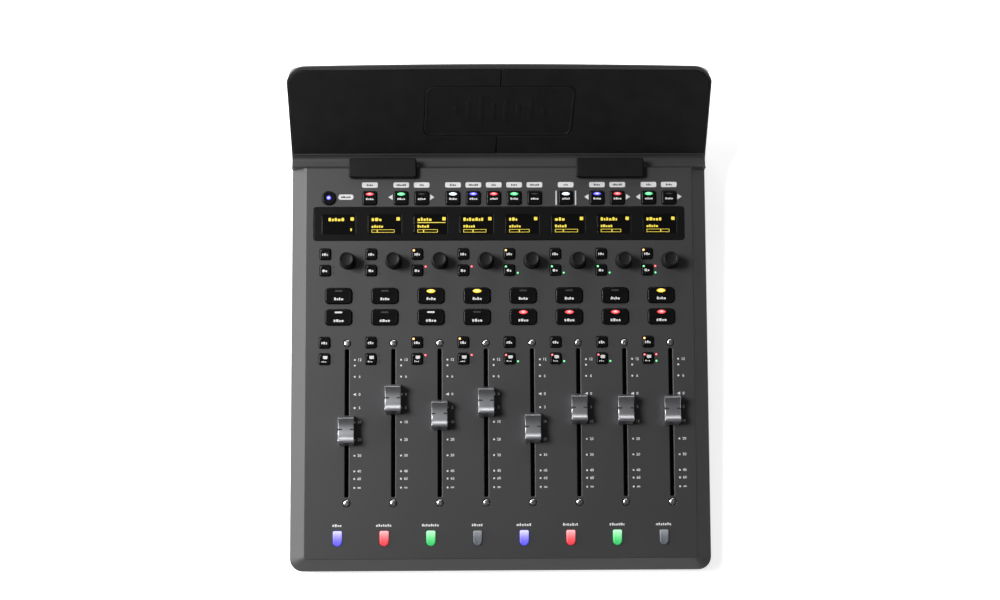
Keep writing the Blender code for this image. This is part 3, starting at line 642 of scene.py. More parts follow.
def build_corner_cutters(mesh):
    """What lies outside the backrest's two rounded top corners, with softened edges."""
    half, top, radius = WIDTH / 2, BACK_LENGTH, BACK_CORNER
    right = arc((half - radius, top - radius), radius, 0, 90, 14)
    right += [(half - radius, top + 9), (half + 9, top + 9), (half + 9, top - radius)]
    left = [(-a, b) for a, b in reversed(right)]
    for outline in (right, left):
        rim = grown(outline, 0.9)
        levels = [(outline, -BACK_THICKNESS - 8), (outline, -1.0), (grown(outline, 0.28), -0.35)]
        stack(mesh, *levels, (rim, 0.35), (rim, 6))


def rimmed_hole(mesh, outline, rim=0.3):
    """Cutter for a hole through the deck with a rounded rim."""
    bend, wide = grown(outline, rim * 0.3), grown(outline, rim * 1.3)
    levels = [(outline, -DECK_THICKNESS - 1.5), (outline, -rim), (bend, -rim * 0.3)]
    stack(mesh, *levels, (wide, rim * 0.3), (wide, 1.0))


def key_outline(size):
    return rectangle(size, 3.0 if size == WIDE_KEY else 1.5)


def small_key_places():
    places = [(u + LOWER_SHIFT, v) for u in COLUMNS for v in LOWER_ROWS]
    return places + [(u + UPPER_SHIFT, v) for u in COLUMNS for v in UPPER_ROWS]


def build_deck_holes(mesh):
    for n, u in enumerate(COLUMNS, 1):
        rimmed_hole(mesh, moved(rectangle(SLOT, 1.0), u, FADER_V), SLOT_RIM)
        rimmed_hole(mesh, moved(circle(4.0), u, KNOB_V))
        rimmed_hole(mesh, moved(grown(shield(SOFT_KEY), KEY_GAP), *centre_on_deck(f"soft_key_{n}")))
        for kind in ("solo", "mute"):
            place = centre_on_deck(f"{kind}_key_{n}")
            rimmed_hole(mesh, moved(grown(key_outline(WIDE_KEY), KEY_GAP), *place))
        for v in SCREW_ROWS:
            neck, bore = moved(circle(1.9), u, v), moved(circle(3.0), u, v)
            levels = [(neck, -DECK_THICKNESS - 1.5), (neck, -1.6), (bore, -1.6), (bore, -0.3)]
            stack(mesh, *levels, (grown(bore, 0.4), 0.1), (grown(bore, 0.4), 1.0))
    for place in small_key_places():
        rimmed_hole(mesh, moved(grown(key_outline(SMALL_KEY), KEY_GAP), *place))
    for u in FUNCTION_PLACES:
        rimmed_hole(mesh, moved(grown(key_outline(FUNCTION_KEY), KEY_GAP), u, FUNCTION_V))
    rimmed_hole(mesh, moved(circle(SHIFT_RADIUS + KEY_GAP, 40), *centre_on_deck("shift_key")))
    rebate = moved(rectangle((DISPLAY_SIZE[0] + 0.7, DISPLAY_SIZE[1] + 0.7), 2.3), 0, DISPLAY_V)
    window = moved(rectangle((DISPLAY_SIZE[0] - 6, DISPLAY_SIZE[1] - 5), 2.3), 0, DISPLAY_V)
    levels = [(window, -DECK_THICKNESS - 1), (window, -1.3), (rebate, -1.3), (rebate, -0.25)]
    stack(mesh, *levels, (grown(rebate, 0.35), 0.1), (grown(rebate, 0.35), 1.0))


def build_crease_chamfer(mesh):
    """What goes from the deck's rear edge, to soften it."""
    steps = ((-0.7, -0.02), (0.25, -0.85), (0.6, 0.6), (-0.7, 0.6))
    profile = [(CREASE_Y + y, deck_z(CREASE_Y) + z) for y, z in steps]
    sideways_prism(mesh, profile, (-WIDTH / 2 - 10, WIDTH / 2 + 10))


def bow_backrest(data):
    """The backrest's top edge is a shallow arch: its corners are lower than its middle."""
    to_back = BACKREST.inverted() @ PLAN
    back = to_back.inverted()
    for vertex in data.vertices:
        place = to_back @ vertex.co
        share = place.y / MM / BACK_LENGTH
        if share > 0 and place.z / MM > -BACK_THICKNESS - 1:
            place.y -= BACK_BOW * MM * share * (place.x / MM / (WIDTH / 2)) ** 2
            vertex.co = back @ place
    data.update()
    return data


def make_case():
    removed = (
        (build_wedge_hollow, PLAN),
        (build_rear_hollow, PLAN),
        (build_crease_chamfer, PLAN),
        (build_back_hollow, BACKREST),
        (build_pad_recess, BACKREST),
        (build_corner_cutters, BACKREST),
        (build_deck_holes, DECK),
    )
    data = carved_mesh("case_shell", build_wedge, PLAN, removed, ((build_rear_body, PLAN),))
    piece("case_shell", bow_backrest(data), PLAN, M["paint"], stands_for=("top_case",))


TRAY_SCREWS = [(x, y) for y in (46, 150, 292) for x in (-140, 0, 140)]


def make_tray():
    low, high = TRAY_BOTTOM, SPLIT_Z - JOINT_GAP

    def outer(mesh):
        outline = plan_outline(0, REAR_WALL_Y, FRONT_CORNER)
        bottom = [(grown(outline, -s), low + 1 - math.sqrt(1 - s ** 2)) for s in (1, 0.7, 0.4, 0)]
        stack(mesh, *bottom, (outline, high - 0.3), (grown(outline, -0.3), high))

    def hollow(mesh):
        plate(mesh, plan_outline(WALL, REAR_WALL_Y - WALL, FRONT_CORNER - WALL), low + WALL, high + 5)

    def screw_wells(mesh):
        for x, y in TRAY_SCREWS:
            stack(mesh, (moved(circle(3.9), x, y), low - 1), (moved(circle(3.5), x, y), low + 1.2))

    def vents(mesh):
        for row in range(9):
            for x in (-72, 72):
                slot = moved(rectangle((46, 2.6), 1.25), x, 168 + row * 7)
                plate(mesh, slot, low - 1, low + WALL + 1)

    data = carved_mesh("tray_shell", outer, PLAN, ((hollow, PLAN), (screw_wells, PLAN), (vents, PLAN)))
    piece("tray_shell", data, PLAN, M["tray"], stands_for=("bottom_tray",))

    def heads(mesh):
        head = ((0, 0.32), (1.1, 0.34), (2.2, 0.42), (2.9, 0.75), (2.9, 1.3), (0, 1.3))
        for x, y in TRAY_SCREWS:
            turned(mesh, [(radius, low + rise) for radius, rise in head], 24, x, y)

    def slots(half_x, half_y):
        def build(mesh):
            for x, y in TRAY_SCREWS:
                block(mesh, (x - half_x, x + half_x), (y - half_y, y + half_y), (low - 1, low + 0.85))

        return build

    removed = ((slots(1.5, 0.3), PLAN), (slots(0.3, 1.5), PLAN))
    data = carved_mesh("tray_screws", heads, PLAN, removed)
    piece("tray_screws", data, PLAN, M["steel"])


# Where things go through the rear wall.

SWITCH_X, SWITCH_Z, POWER_X, NETWORK_X, PEDAL_X = 112.0, 26.0, 84.0, 50.0, (12.0, -14.0)
SOCKET_MIDDLE, PEDAL_Z, POWER_Z = 23.8, 26.0, 24.0
# Frame for outlines that stand upright: x, minus z, and y as the level.
LYING = PLAN @ Matrix.Rotation(math.radians(-90), 4, "X")


def make_rear_cover():
    sheet, side_gap = 2.0, WALL + JOINT_GAP
    top = BACK_REAR_LENGTH - 3.0 - JOINT_GAP - BACK_BOW

    def bent_plate(mesh):
        corners = [
            (*back_point(top, sheet - BACK_THICKNESS), 0),
            (*back_point(top, -BACK_THICKNESS), 0),
            (REAR_WALL_Y, rear_wall_top(), 3.0),
            (REAR_WALL_Y, SPLIT_Z, 0),
            (REAR_WALL_Y - sheet, SPLIT_Z, 0),
            (REAR_WALL_Y - sheet, rear_wall_top(sheet), 1.0),
        ]
        sideways_prism(mesh, rounded_path(corners, 5), (side_gap - WIDTH / 2, WIDTH / 2 - side_gap))

    def corners(mesh):
        radius, half = BACK_CORNER - WALL, WIDTH / 2 - side_gap
        right = arc((half - radius, top - radius), radius, 0, 90, 12)
        right += [(half - radius, top + 5), (half + 5, top + 5), (half + 5, top - radius)]
        for outline in (right, [(-a, b) for a, b in reversed(right)]):
            plate(mesh, outline, -BACK_THICKNESS - 6, 0)

    def cutouts(mesh):
        holes = [
            moved(rectangle((10.4, 17.2), 0.8), SWITCH_X, -SWITCH_Z),
            moved(rectangle((10.4, 14.8), 0.8), POWER_X, 0.2 - SOCKET_MIDDLE),
            moved(rectangle((16.8, 14.8), 0.8), NETWORK_X, 0.2 - SOCKET_MIDDLE),
        ]
        for hole in holes + [moved(circle(5.8), x, -PEDAL_Z) for x in PEDAL_X]:
            plate(mesh, hole, REAR_WALL_Y - 6, REAR_WALL_Y + 6)

    def vents(mesh):
        for n in range(16):
            slot = moved(rectangle((2.4, 22), 1.15), (n - 7.5) * 7, 40)
            plate(mesh, slot, -BACK_THICKNESS - 2, 2.5 - BACK_THICKNESS)

    removed = ((corners, BACKREST), (cutouts, LYING), (vents, BACKREST))
    data = carved_mesh("cover_plate", bent_plate, PLAN, removed)
    piece("cover_plate", data, PLAN, M["tray"], stands_for=("rear_cover",))


# Backrest.


def badge_outline(grow=0.0):
    """Parallelogram plate whose sides lean like the joint between the pads."""
    size = (BADGE_SIZE[0] + 2 * grow, BADGE_SIZE[1] + 2 * grow)
    return [(a + PAD_LEAN * b, b + BADGE_V) for a, b in rectangle(size, 6.0 + grow, 10)]


def pad_outline(side):
    """Left or right pad: it stops at the leaning joint and goes round the badge."""
    badge = badge_outline(0.35)
    quarter = len(badge) // 4
    full = back_outline(PAD_INSET, 0, PAD_LENGTH, BACK_CORNER - 3.3)
    corner_arcs = full[2:15] if side > 0 else full[15:]

    def joint(v):
        return PAD_MIDDLE + PAD_LEAN * (v - BADGE_V) + side * 0.3

    low, high = BADGE_V - BADGE_SIZE[1] / 2 - 0.35, BADGE_V + BADGE_SIZE[1] / 2 + 0.35
    if side > 0:
        notch = [badge[3 * quarter:], badge[:quarter]]
        inner = [(joint(high), high), *reversed(notch[1]), *reversed(notch[0]), (joint(low), low)]
        return [(joint(0), 0), full[1], *corner_arcs, (joint(PAD_LENGTH), PAD_LENGTH), *inner]
    notch = [badge[quarter:2 * quarter], badge[2 * quarter:3 * quarter]]
    inner = [(joint(low), low), *reversed(notch[1]), *reversed(notch[0]), (joint(high), high)]
    return [full[0], (joint(0), 0), *inner, (joint(PAD_LENGTH), PAD_LENGTH), *corner_arcs]


def bow_flat(item):
    """Bends a piece in the backrest frame the way the backrest is bowed."""
    for vertex in item.data.vertices:
        u, v = vertex.co.x / MM, vertex.co.y / MM
        vertex.co.y -= BACK_BOW * MM * max(v, 0) / BACK_LENGTH * (u / (WIDTH / 2)) ** 2
    item.data.update()


def make_backrest():
    for name, side in (("left", -1), ("right", 1)):

        def build(mesh, side=side):
            slab(mesh, pad_outline(side), -PAD_DEPTH, 0.2, 0.5)
            for u in 60, 110:
                geometry = mesh.verts[:] + mesh.edges[:] + mesh.faces[:]
                cut = (side * u * MM, 0, 0)
                bmesh.ops.bisect_plane(mesh, geom=geometry, plane_co=cut, plane_no=(1, 0, 0))

        node = f"backrest_pad_{name}"
        pad = piece(f"grip_pad_{name}", build, BACKREST, M["pad"], stands_for=(node,))
        bow_flat(pad)

    def badge(mesh):
        outline = badge_outline()
        inner = grown(outline, -2.0)
        levels = edge_levels(outline, 0.5, 0.45)
        stack(mesh, (outline, -PAD_DEPTH), *levels, (grown(inner, 0.3), 0.5), (inner, 0.3))

    def relief(mesh):
        heights = (9, 17, 24, 15, 21, 12, 18, 8)
        for n, height in enumerate(heights):
            u = (n - 3.5) * 9.5
            bar = [(a + PAD_LEAN * b + u, b + BADGE_V) for a, b in rectangle((3.2, height), 1.5, 5)]
            slab(mesh, bar, 0.2, 0.52, 0.2)

    piece("badge_plate", badge, BACKREST, M["badge"], stands_for=("backrest_badge",))
    piece("badge_relief", relief, BACKREST, M["badge"])


STOP_SIZE = (52.1, 15.2)


def make_stops():
    def build(mesh):
        outline = rectangle(STOP_SIZE, 2.0, 6)
        base = (grown(outline, -0.25), JOINT_GAP)
        stack(mesh, base, (outline, JOINT_GAP + 0.3), *edge_levels(outline, 5.0, 1.0, 4))

    for name in ("left", "right"):
        node = f"tablet_stop_{name}"
        place = at(DECK, *centre_on_deck(node))
        piece("stop_block_" + name, build, place, M["stop"], stands_for=(node,))


def make_feet():
    def build(mesh):
        outline = rectangle((258, 11), 4.0, 8)
        lower = [(grown(outline, -0.6), 0.0), (grown(outline, -0.15), 0.2), (outline, 0.7)]
        stack(mesh, *lower, (grown(outline, 1.0), 1.6), (grown(outline, 1.0), TRAY_BOTTOM))

    def treads(mesh):
        for n in range(-2, 3):
            plate(mesh, moved(rectangle((236, 0.9), 0.4, 4), 0, n * 1.9), -1, 0.35)

    for node, y in (("foot_front", 22.0), ("foot_rear", 314.0)):
        place = at(PLAN, 0, y)
        data = carved_mesh(node + "_strip", build, place, ((treads, place),))
        piece(node + "_strip", data, place, M["ground"], stands_for=(node,))


# Controls.


def lamp(mesh, outline, u, v, base, height, steps=5):
    """Low dome whose glow value rises from 0 at its rim to 1 at its middle."""
    glow = mesh.verts.layers.float.get("glow") or mesh.verts.layers.float.new("glow")
    rings = [ring(mesh, moved(outline, u, v), base - 0.3)]
    for step in range(steps):
        share = step / steps
        shape = [(a * (1 - share), b * (1 - share)) for a, b in outline]
        rings.append(ring(mesh, moved(shape, u, v), base + height * (1 - (1 - share) ** 2)))
        for vertex in rings[-1]:
            vertex[glow] = share
    mesh.faces.new(list(reversed(rings[0])))
    for lower, upper in zip(rings, rings[1:]):
        join_rings(mesh, lower, upper)
    top = mesh.verts.new(Vector((u, v, base + height)) * MM)
    top[glow] = 1.0
    for i in range(len(outline)):
        mesh.faces.new((rings[-1][i], rings[-1][(i + 1) % len(outline)], top))


def decal(mesh, outline, w):
    """Thin plate that stands just proud of a face at level w."""
    plate(mesh, outline, w - 0.06, w + 0.03)


def word(mesh, u, v, length, height, w, kind=0):
    """Row of small upright blocks in the place of a label. It spells nothing."""
    widths = ((1.0, 0.7, 0.8, 1.1), (0.8, 1.1, 0.7, 0.9), (1.1, 0.8, 1.0, 0.7))[kind % 3]
    rises = ((1.0, 0.72, 0.95, 0.7), (0.9, 1.0, 0.7, 0.74), (0.72, 1.0, 0.72, 0.92))[kind % 3]
    gap = 0.22 * height
    count = max(2, round(length / (0.62 * height + gap)))
    chosen = [widths[n % 4] for n in range(count)]
    unit = (length - gap * (count - 1)) / sum(chosen)
    left = u - length / 2
    for n, share in enumerate(chosen):
        width = share * unit
        tall = height * rises[n % 4]
        outline = rectangle((width, tall), min(width, tall) * 0.3, 3)
        decal(mesh, moved(outline, left + width / 2, v - (height - tall) / 2), w)
        left += width + gap


def key_body(mesh, outline, u=0.0, v=0.0, top=KEY_TOP, foot=KEY_FOOT):
    """Key cap with a drafted side, a rounded edge and a faintly dished top."""
    placed = moved(outline, u, v)
    levels = [(placed, foot), (placed, top - 1.1)]
    levels += edge_levels(grown(placed, -0.06), top, 0.75, 5)
    levels.append((grown(placed, -1.5), top - 0.03))
    levels.append((grown(placed, -2.2), top - 0.10))
    stack(mesh, *levels)


def make_shaft(mesh, outline):
    """Flange and plunger that hold a single key from below."""
    plate(mesh, grown(outline, 0.9), KEY_FOOT - 1.1, KEY_FOOT)
    low, high = KEY_FOOT - 2.1, KEY_FOOT - 1.05
    turned(mesh, ((0, low), (1.5, low), (1.5, high), (0, high)), 16)


SOFT_COLOURS = ("soft_blue", "soft_red", "soft_green", "soft_grey") * 2


# Where the label is on a wide key, how long it is and which lamp is behind the key.
WIDE_KEYS = {
    "solo": (-2.3, 6.9, (3, 4, 8), "yellow", ()),
    "mute": (-2.6, 7.6, (5, 6, 7, 8), "red", (1, 3)),
}


def make_wide_keys():
    def build(mesh):
        outline = key_outline(WIDE_KEY)
        key_body(mesh, outline)
        make_shaft(mesh, outline)

    def shine(mesh):
        lamp(mesh, ellipse(6.8, 3.3), 0, 3.7, KEY_FACE, 0.22)

    def dash(mesh):
        outline = moved(rectangle((5.8, 1.3), 0.6, 4), 0, 3.8)
        slab(mesh, outline, KEY_FACE - 0.1, KEY_FACE + 0.08, 0.08, 2)

    for style, (kind, (word_v, length, lit, colour, pale)) in enumerate(WIDE_KEYS.items()):

        def label(mesh, word_v=word_v, length=length, style=style):
            word(mesh, 0, word_v, length, 2.1, KEY_FACE, style)

        for n in range(1, 9):
            node = f"{kind}_key_{n}"
            place = at(DECK, *centre_on_deck(node))
            piece(node + "_cap", build, place, M["key"], node, (node,))
            piece(node + "_label", label, place, M["ink"], node)
            finish = colour if n in lit else "ink" if n in pale else "dead"
            piece(node + "_lamp", shine if n in lit else dash, place, M[finish], node)


def make_soft_keys():
    def build(mesh):
        outline = shield(SOFT_KEY)
        glow = mesh.verts.layers.float.new("glow")
        key_body(mesh, outline, top=1.3)
        make_shaft(mesh, outline)
        for vertex in mesh.verts:
            rise = (vertex.co.y / MM + SOFT_KEY[1] / 2) / SOFT_KEY[1]
            vertex[glow] = min(max(rise, 0), 1) ** 1.3 * (1 if vertex.co.z / MM > 0.2 else 0.2)

    for n, colour in enumerate(SOFT_COLOURS, 1):
        node = f"soft_key_{n}"
        place = at(DECK, *centre_on_deck(node))
        piece(node + "_cap", build, place, M[colour], node, (node,))


FUNCTION_LAMPS = ("red", "green", "", *("white", "blue", "red", "green", "") * 2)


def grouped_lamps(prefix, body, place, spots):
    """One piece for each colour among (colour, outline, u, v, base, height) spots."""
    for colour in sorted({spot[0] for spot in spots}):

        def build(mesh):
            for found, outline, u, v, base, height in spots:
                if found == colour:
                    lamp(mesh, outline, u, v, base, height)

        piece(f"{prefix}_{colour or 'unlit'}", build, place, M[colour or "dead"], body)


def make_function_keys():
    body = "function_key_mat"

    def keys(mesh):
        for u in FUNCTION_PLACES:
            key_body(mesh, key_outline(FUNCTION_KEY), u, FUNCTION_V)

    def web(mesh):
        outline = rectangle((FUNCTION_PLACES[-1] - FUNCTION_PLACES[0] + 13.2, 13.2), 1.0)
        middle = (FUNCTION_PLACES[0] + FUNCTION_PLACES[-1]) / 2
        slab(mesh, moved(outline, middle, FUNCTION_V), KEY_FOOT - 1.1, KEY_FOOT, 0.3)
        for u in FUNCTION_PLACES:
            plate(mesh, moved(circle(1.5, 16), u, FUNCTION_V), KEY_FOOT - 2.1, KEY_FOOT - 1.05)

    def labels(mesh):
        for n, u in enumerate(FUNCTION_PLACES):
            word(mesh, u, FUNCTION_V - 0.8, 5.8, 1.6, KEY_FACE, n)

    piece("function_keys", keys, DECK, M["key"], body, (body,))
    piece("function_key_web", web, DECK, M["key"], body, (body,))
    piece("function_key_labels", labels, DECK, M["ink"], body)
    spots = []
    for u, colour in zip(FUNCTION_PLACES, FUNCTION_LAMPS):
        shape, height = (ellipse(6.2, 2.7), 0.2) if colour else (ellipse(5.4, 1.5), 0.08)
        spots.append((colour, shape, u, FUNCTION_V + 3.1, KEY_FACE, height))
    grouped_lamps("function_lamps", body, DECK, spots)


def make_shift_key():
    place = at(DECK, *centre_on_deck("shift_key"))

    def build(mesh):
        key_body(mesh, circle(SHIFT_RADIUS, 40), top=1.5)
        make_shaft(mesh, circle(SHIFT_RADIUS, 40))

    def shine(mesh):
        lamp(mesh, circle(1.7, 24), 0, 0.2, 1.4, 0.25)

    piece("shift_key_cap", build, place, M["key"], "shift_key", ("shift_key",))
    piece("shift_key_lamp", shine, place, M["blue"], "shift_key")


SEL_ROW, REC_ROW = LOWER_ROWS[1], LOWER_ROWS[0]
UPPER_LIT = {UPPER_ROWS[1]: ("orange", (3, 5, 8)), UPPER_ROWS[0]: ("green", (5, 6, 7, 8))}
LOWER_LIT = {SEL_ROW: ("orange", (3, 4, 8)), REC_ROW: ("red", (5, 6, 7, 8))}
PANEL_RED, PANEL_GREEN = (3, 4, 8), (5, 6, 7, 8)


def make_small_keys():
    mats = (
        ("upper_key", UPPER_ROWS, UPPER_SHIFT, (207.2, 210.7), 236.6, UPPER_LIT),
        ("lower_key", LOWER_ROWS, LOWER_SHIFT, (169.6, 173.6), 145.8, LOWER_LIT),
    )
    for prefix, rows, shift, spine, tip, lit in mats:
        body = prefix + "_mat"

        def keys(mesh):
            for u in COLUMNS:
                for v in rows:
                    key_body(mesh, key_outline(SMALL_KEY), u + shift, v)

        def web(mesh):
            first, last = COLUMNS[0] + shift - 5.3, COLUMNS[-1] + shift + 5.3
            block(mesh, (first, last), spine, (KEY_FOOT - 1.1, KEY_FOOT))
            reach = (spine[1], tip) if tip > spine[1] else (tip, spine[0])
            for u in COLUMNS:
                block(mesh, (u + shift - 5.2, u + shift + 5.2), reach, (KEY_FOOT - 1.1, KEY_FOOT))

        def labels(mesh):
            for n, u in enumerate(COLUMNS):
                for row, v in enumerate(rows):
                    if v == REC_ROW:
                        decal(mesh, moved(rectangle((3.4, 3.0), 0.9), u + shift + 0.6, v + 1.5), KEY_FACE)
                        word(mesh, u + shift - 1.2, v - 2.1, 5.0, 1.5, KEY_FACE, n)
                    else:
                        length = 3.6 if v == UPPER_ROWS[0] else 4.4
                        word(mesh, u + shift - 0.3, v - 0.3, length, 2.0, KEY_FACE, row)

        piece(prefix + "s", keys, DECK, M["key"], body, (body,))
        piece(prefix + "_web", web, DECK, M["key"], body, (body,))
        piece(prefix + "_labels", labels, DECK, M["ink"], body)
        spots = []
        for v, (colour, columns) in lit.items():
            for n, u in enumerate(COLUMNS, 1):
                found = colour if n in columns else ""
                radius = 0.95 if found else 0.6
                spots.append((found, circle(radius, 16), u + shift - 2.7, v + 2.7, KEY_FACE + 0.02, 0.3))
        grouped_lamps(prefix + "_lamps", body, DECK, spots)


KNOB_RIBS = 32


def build_knob(mesh):
    """Hollow knob with a foot, a ribbed side and a dished top."""
    inside = [(0, 10.8), (3.7, 10.8), (3.7, 0.6)]
    base = [(6.35, 0.6), (6.45, 0.9), (6.4, 1.5), (6.0, 2.1), (5.85, 3.0)]
    side = [(5.7, 7.5), (5.52, 12.4), (5.42, 13.1), (5.15, 13.6), (4.8, 13.8)]
    dish = [(4.45, 13.75), (4.2, 13.5), (3.9, 13.32), (3.3, 13.28), (2.9, 13.22), (1.5, 13.12), (0, 13.1)]
    turned(mesh, inside + base + side + dish, 64)
    for vertex in mesh.verts:
        height, radius = vertex.co.z / MM, vertex.co.xy.length / MM
        if 2.5 < height < 12.8 and radius > 5.0:
            angle = math.atan2(vertex.co.y, vertex.co.x)
            vertex.co.xy *= 1 - 0.008 * (1 + math.cos(KNOB_RIBS * angle))


def make_knobs():
    for n, u in enumerate(COLUMNS, 1):
        node = f"knob_{n}"
        piece(node + "_grip", build_knob, at(DECK, u, KNOB_V), M["knob"], node, (node,))


# Fader caps.

# A cap's origin is below its index marks, and its rear end is CAP_REAR behind them.
CAP_HALF, CAP_REAR, CAP_CREST, CAP_REACH, CAP_SCOOP = 6.15, 10.6, 11.5, 8.0, 2.1
SCOOP_TOP = CAP_CREST - 0.05
SCOOP_STEPS = 14


def cap_profile():
    """Side view of a cap as (v, w): steep rear, thin rear ridge, scoop, front ridge, apron."""
    points = [(-12.4, 1.0), (CAP_REAR, 1.0), (10.3, 3.0), (9.45, 9.7), (9.2, 10.6), (8.8, 11.2), (8.3, 11.5)]
    for step in range(1, SCOOP_STEPS):
        v = CAP_REACH - 2 * CAP_REACH * step / SCOOP_STEPS
        points.append((v - 0.1, SCOOP_TOP - CAP_SCOOP * (1 - abs(v / CAP_REACH) ** 2.6)))
    points += [(-8.2, 11.4), (-8.8, 11.42), (-9.3, 11.25), (-9.7, 10.85), (-9.95, 10.2), (-11.9, 3.0)]
    return points


def build_cap(mesh):
    """Cap whose sides draw in towards the deck, with a small radius along every side edge."""
    profile = cap_profile()
    radius, rings = 0.5, []
    for side in (-1, 1):
        steps = range(4) if side < 0 else range(3, -1, -1)
        for step in steps:
            angle = math.pi / 2 * step / 3
            inset, out = radius * (1 - math.sin(angle)), radius * (1 - math.cos(angle))
            shape = [(b, a) for a, b in grown([(b, a) for a, b in profile], inset)]
            made = []
            for v, w in shape:
                half = (CAP_HALF - out) * (0.88 + 0.12 * min(max(w / CAP_CREST, 0), 1))
                made.append(mesh.verts.new(Vector((side * half, v, w)) * MM))
            rings.append(made)
    mesh.faces.new(rings[0])
    mesh.faces.new(list(reversed(rings[-1])))
    for lower, upper in zip(rings, rings[1:]):
        join_rings(mesh, upper, lower)


def build_lever(mesh):
    """Blade through the slot, and the block that it ends in."""
    block(mesh, (-0.7, 0.7), (-4, 4), (-7, 2.0))
    block(mesh, (-2.4, 2.4), (-5, 5), (-13, -6.5))


def build_marks(mesh):
    """Dark index marks, one at each side of the scoop's lowest line."""
    bottom = SCOOP_TOP - CAP_SCOOP
    for side in (-1, 1):
        limits = sorted((side * 2.9, side * (CAP_HALF * 0.985 + 0.03)))
        block(mesh, limits, (-0.55, 0.55), (bottom - 1.3, bottom + 0.06))


def make_caps():
    for n, u in enumerate(COLUMNS, 1):
        node = f"fader_cap_{n}"
        place = at(DECK, u, max(deck_points(node)[1]) - CAP_REAR)
        piece(node + "_shell", build_cap, place, M["cap"], node, (node,))
        # The lever's dark steel is painted shade for the inside of its slot.
        piece(node + "_lever", build_lever, place, M["slot_shade_metal"], node, (node,))
        piece(node + "_marks", build_marks, place, M["dim_ink"], node)


def make_panel_screws():
    def heads(mesh):
        side = [(0, -1.55), (2.36, -1.55), (2.36, -0.1), (2.32, 0.12)]
        for u in COLUMNS:
            for v in SCREW_ROWS:
                turned(mesh, side + [(2.05, 0.3), (1.2, 0.46), (0, 0.5)], 32, u, v)

    def slots(mesh):
        for n, u in enumerate(COLUMNS):
            for row, v in enumerate(SCREW_ROWS):
                turn = Matrix.Rotation(math.radians(78 + 23 * n + 40 * row), 2)
                corners = [turn @ Vector(corner) for corner in rectangle((3.8, 0.72))]
                plate(mesh, moved(corners, u, v), 0.16, 2)

    data = carved_mesh("panel_screws", heads, DECK, ((slots, DECK),))
    piece("panel_screws", data, DECK, M["steel"])


# Display.


def window_places():
    return [(u + DISPLAY_SHIFT, DISPLAY_V - 0.5) for u in COLUMNS]


# What each window shows: the length of a name, and where a bar's pointer is.
NAME_LENGTHS = (12.0, 7.6, 10.8, 15.2, 6.2, 7.4, 12.6, 11.4)
POINTERS = (0.25, 0.3, 0.42, 0.5, 0.36, 0.55, 0.62)
SCREEN_LEVELS = (-0.06, 0.03)


def make_display():
    def bar(mesh):
        slab(mesh, moved(rectangle(DISPLAY_SIZE, 2.0, 6), 0, DISPLAY_V), -1.0, 0.25, 0.2)

    def pockets(mesh):
        for place in window_places():
            outline = moved(rectangle(WINDOW_SIZE, 1.4), *place)
            rim = grown(outline, 0.35)
            stack(mesh, (outline, -0.1), (outline, 0.1), (rim, 0.35), (rim, 1))

    def glass(mesh):
        for place in window_places():
            slab(mesh, moved(grown(rectangle(WINDOW_SIZE, 1.4), -0.08), *place), -0.2, 0.0, 0.08, 2)

    data = carved_mesh("display_bar", bar, DECK, ((pockets, DECK),))
    piece("display_bar", data, DECK, M["bezel"], stands_for=("display_lens",))
    piece("display_windows", glass, DECK, M["glass"])

    def content(mesh):
        for n, (u, v) in enumerate(window_places()):
            length, start = NAME_LENGTHS[n], u - (10.2 if n else 8.0)
            word(mesh, start + length / 2, v + 3.9, length, 2.6, 0.0, n)
            decal(mesh, moved(rectangle((2.6, 2.6), 0.4), u + 10.2, v + 4.3), 0.0)
            if n == 0:
                decal(mesh, moved(rectangle((1.2, 2.0), 0.4), u + 9.4, v - 4.0), 0.0)
                continue
            word(mesh, start + 4.4, v - 1.5, 8.8, 2.1, 0.0, n + 1)
            if n == 2:
                block(mesh, (start, u + 11.3), (v + 1.1, v + 1.7), SCREEN_LEVELS)
            end, low, high = u + 5.4 + (n % 2) * 2, v - 6.3, v - 3.9
            pointer = start + (end - start) * POINTERS[n - 1]
            for span in (low, low + 0.32), (high - 0.32, high):
                block(mesh, (start, end), span, SCREEN_LEVELS)
            for span in (start, start + 0.4), (end - 0.4, end), (pointer - 0.4, pointer + 0.4):
                block(mesh, span, (low + 0.32, high - 0.32), SCREEN_LEVELS)

    piece("display_content", content, DECK, M["screen"])


# Printed marks and lamps on the deck.

SCALE = ((150.3, "12"), (137.5, "6"), (124.0, "0"), (113.8, "5"), (102.9, "10"),
         (89.6, "20"), (77.7, "30"), (65.9, "40"), (60.2, "60"), (53.5, "∞"))
DOT_SHIFT, NUMBER_SHIFT, EXTRA_DOT_V, UNITY_V = 5.8, 9.5, 146.0, 124.0
PRINT_LOW, PRINT_TOP = -0.06, 0.04
SOFT_WORDS = (6.8, 11.6, 12.6, 8.0, 10.8, 11.2, 11.2, 11.4)


def build_numbers(mesh):
    """Scale numbers beside every slot, as thin solid text."""
    for v, digits in SCALE:
        curve = bpy.data.curves.new("digits", "FONT")
        curve.body = digits
        curve.size = 2.9 * MM
        curve.align_x = "CENTER"
        curve.align_y = "CENTER"
        curve.extrude = (PRINT_TOP - PRINT_LOW) / 2 * MM
        curve.offset = 0.05 * MM
        curve.resolution_u = 2
        text = bpy.data.objects.new("digits", curve)
        bpy.context.scene.collection.objects.link(text)
        graph = bpy.context.evaluated_depsgraph_get()
        data = bpy.data.meshes.new_from_object(text.evaluated_get(graph))
        bpy.data.objects.remove(text, do_unlink=True)
        shape = bmesh.new()
        shape.from_mesh(data)
        bmesh.ops.remove_doubles(shape, verts=shape.verts, dist=0.001 * MM)
        shape.to_mesh(data)
        shape.free()
        for u in COLUMNS:
            before = len(mesh.verts)
            mesh.from_mesh(data)
            mesh.verts.ensure_lookup_table()
            shift = Vector((u + NUMBER_SHIFT, v, (PRINT_LOW + PRINT_TOP) / 2)) * MM
            bmesh.ops.translate(mesh, verts=mesh.verts[before:], vec=shift)


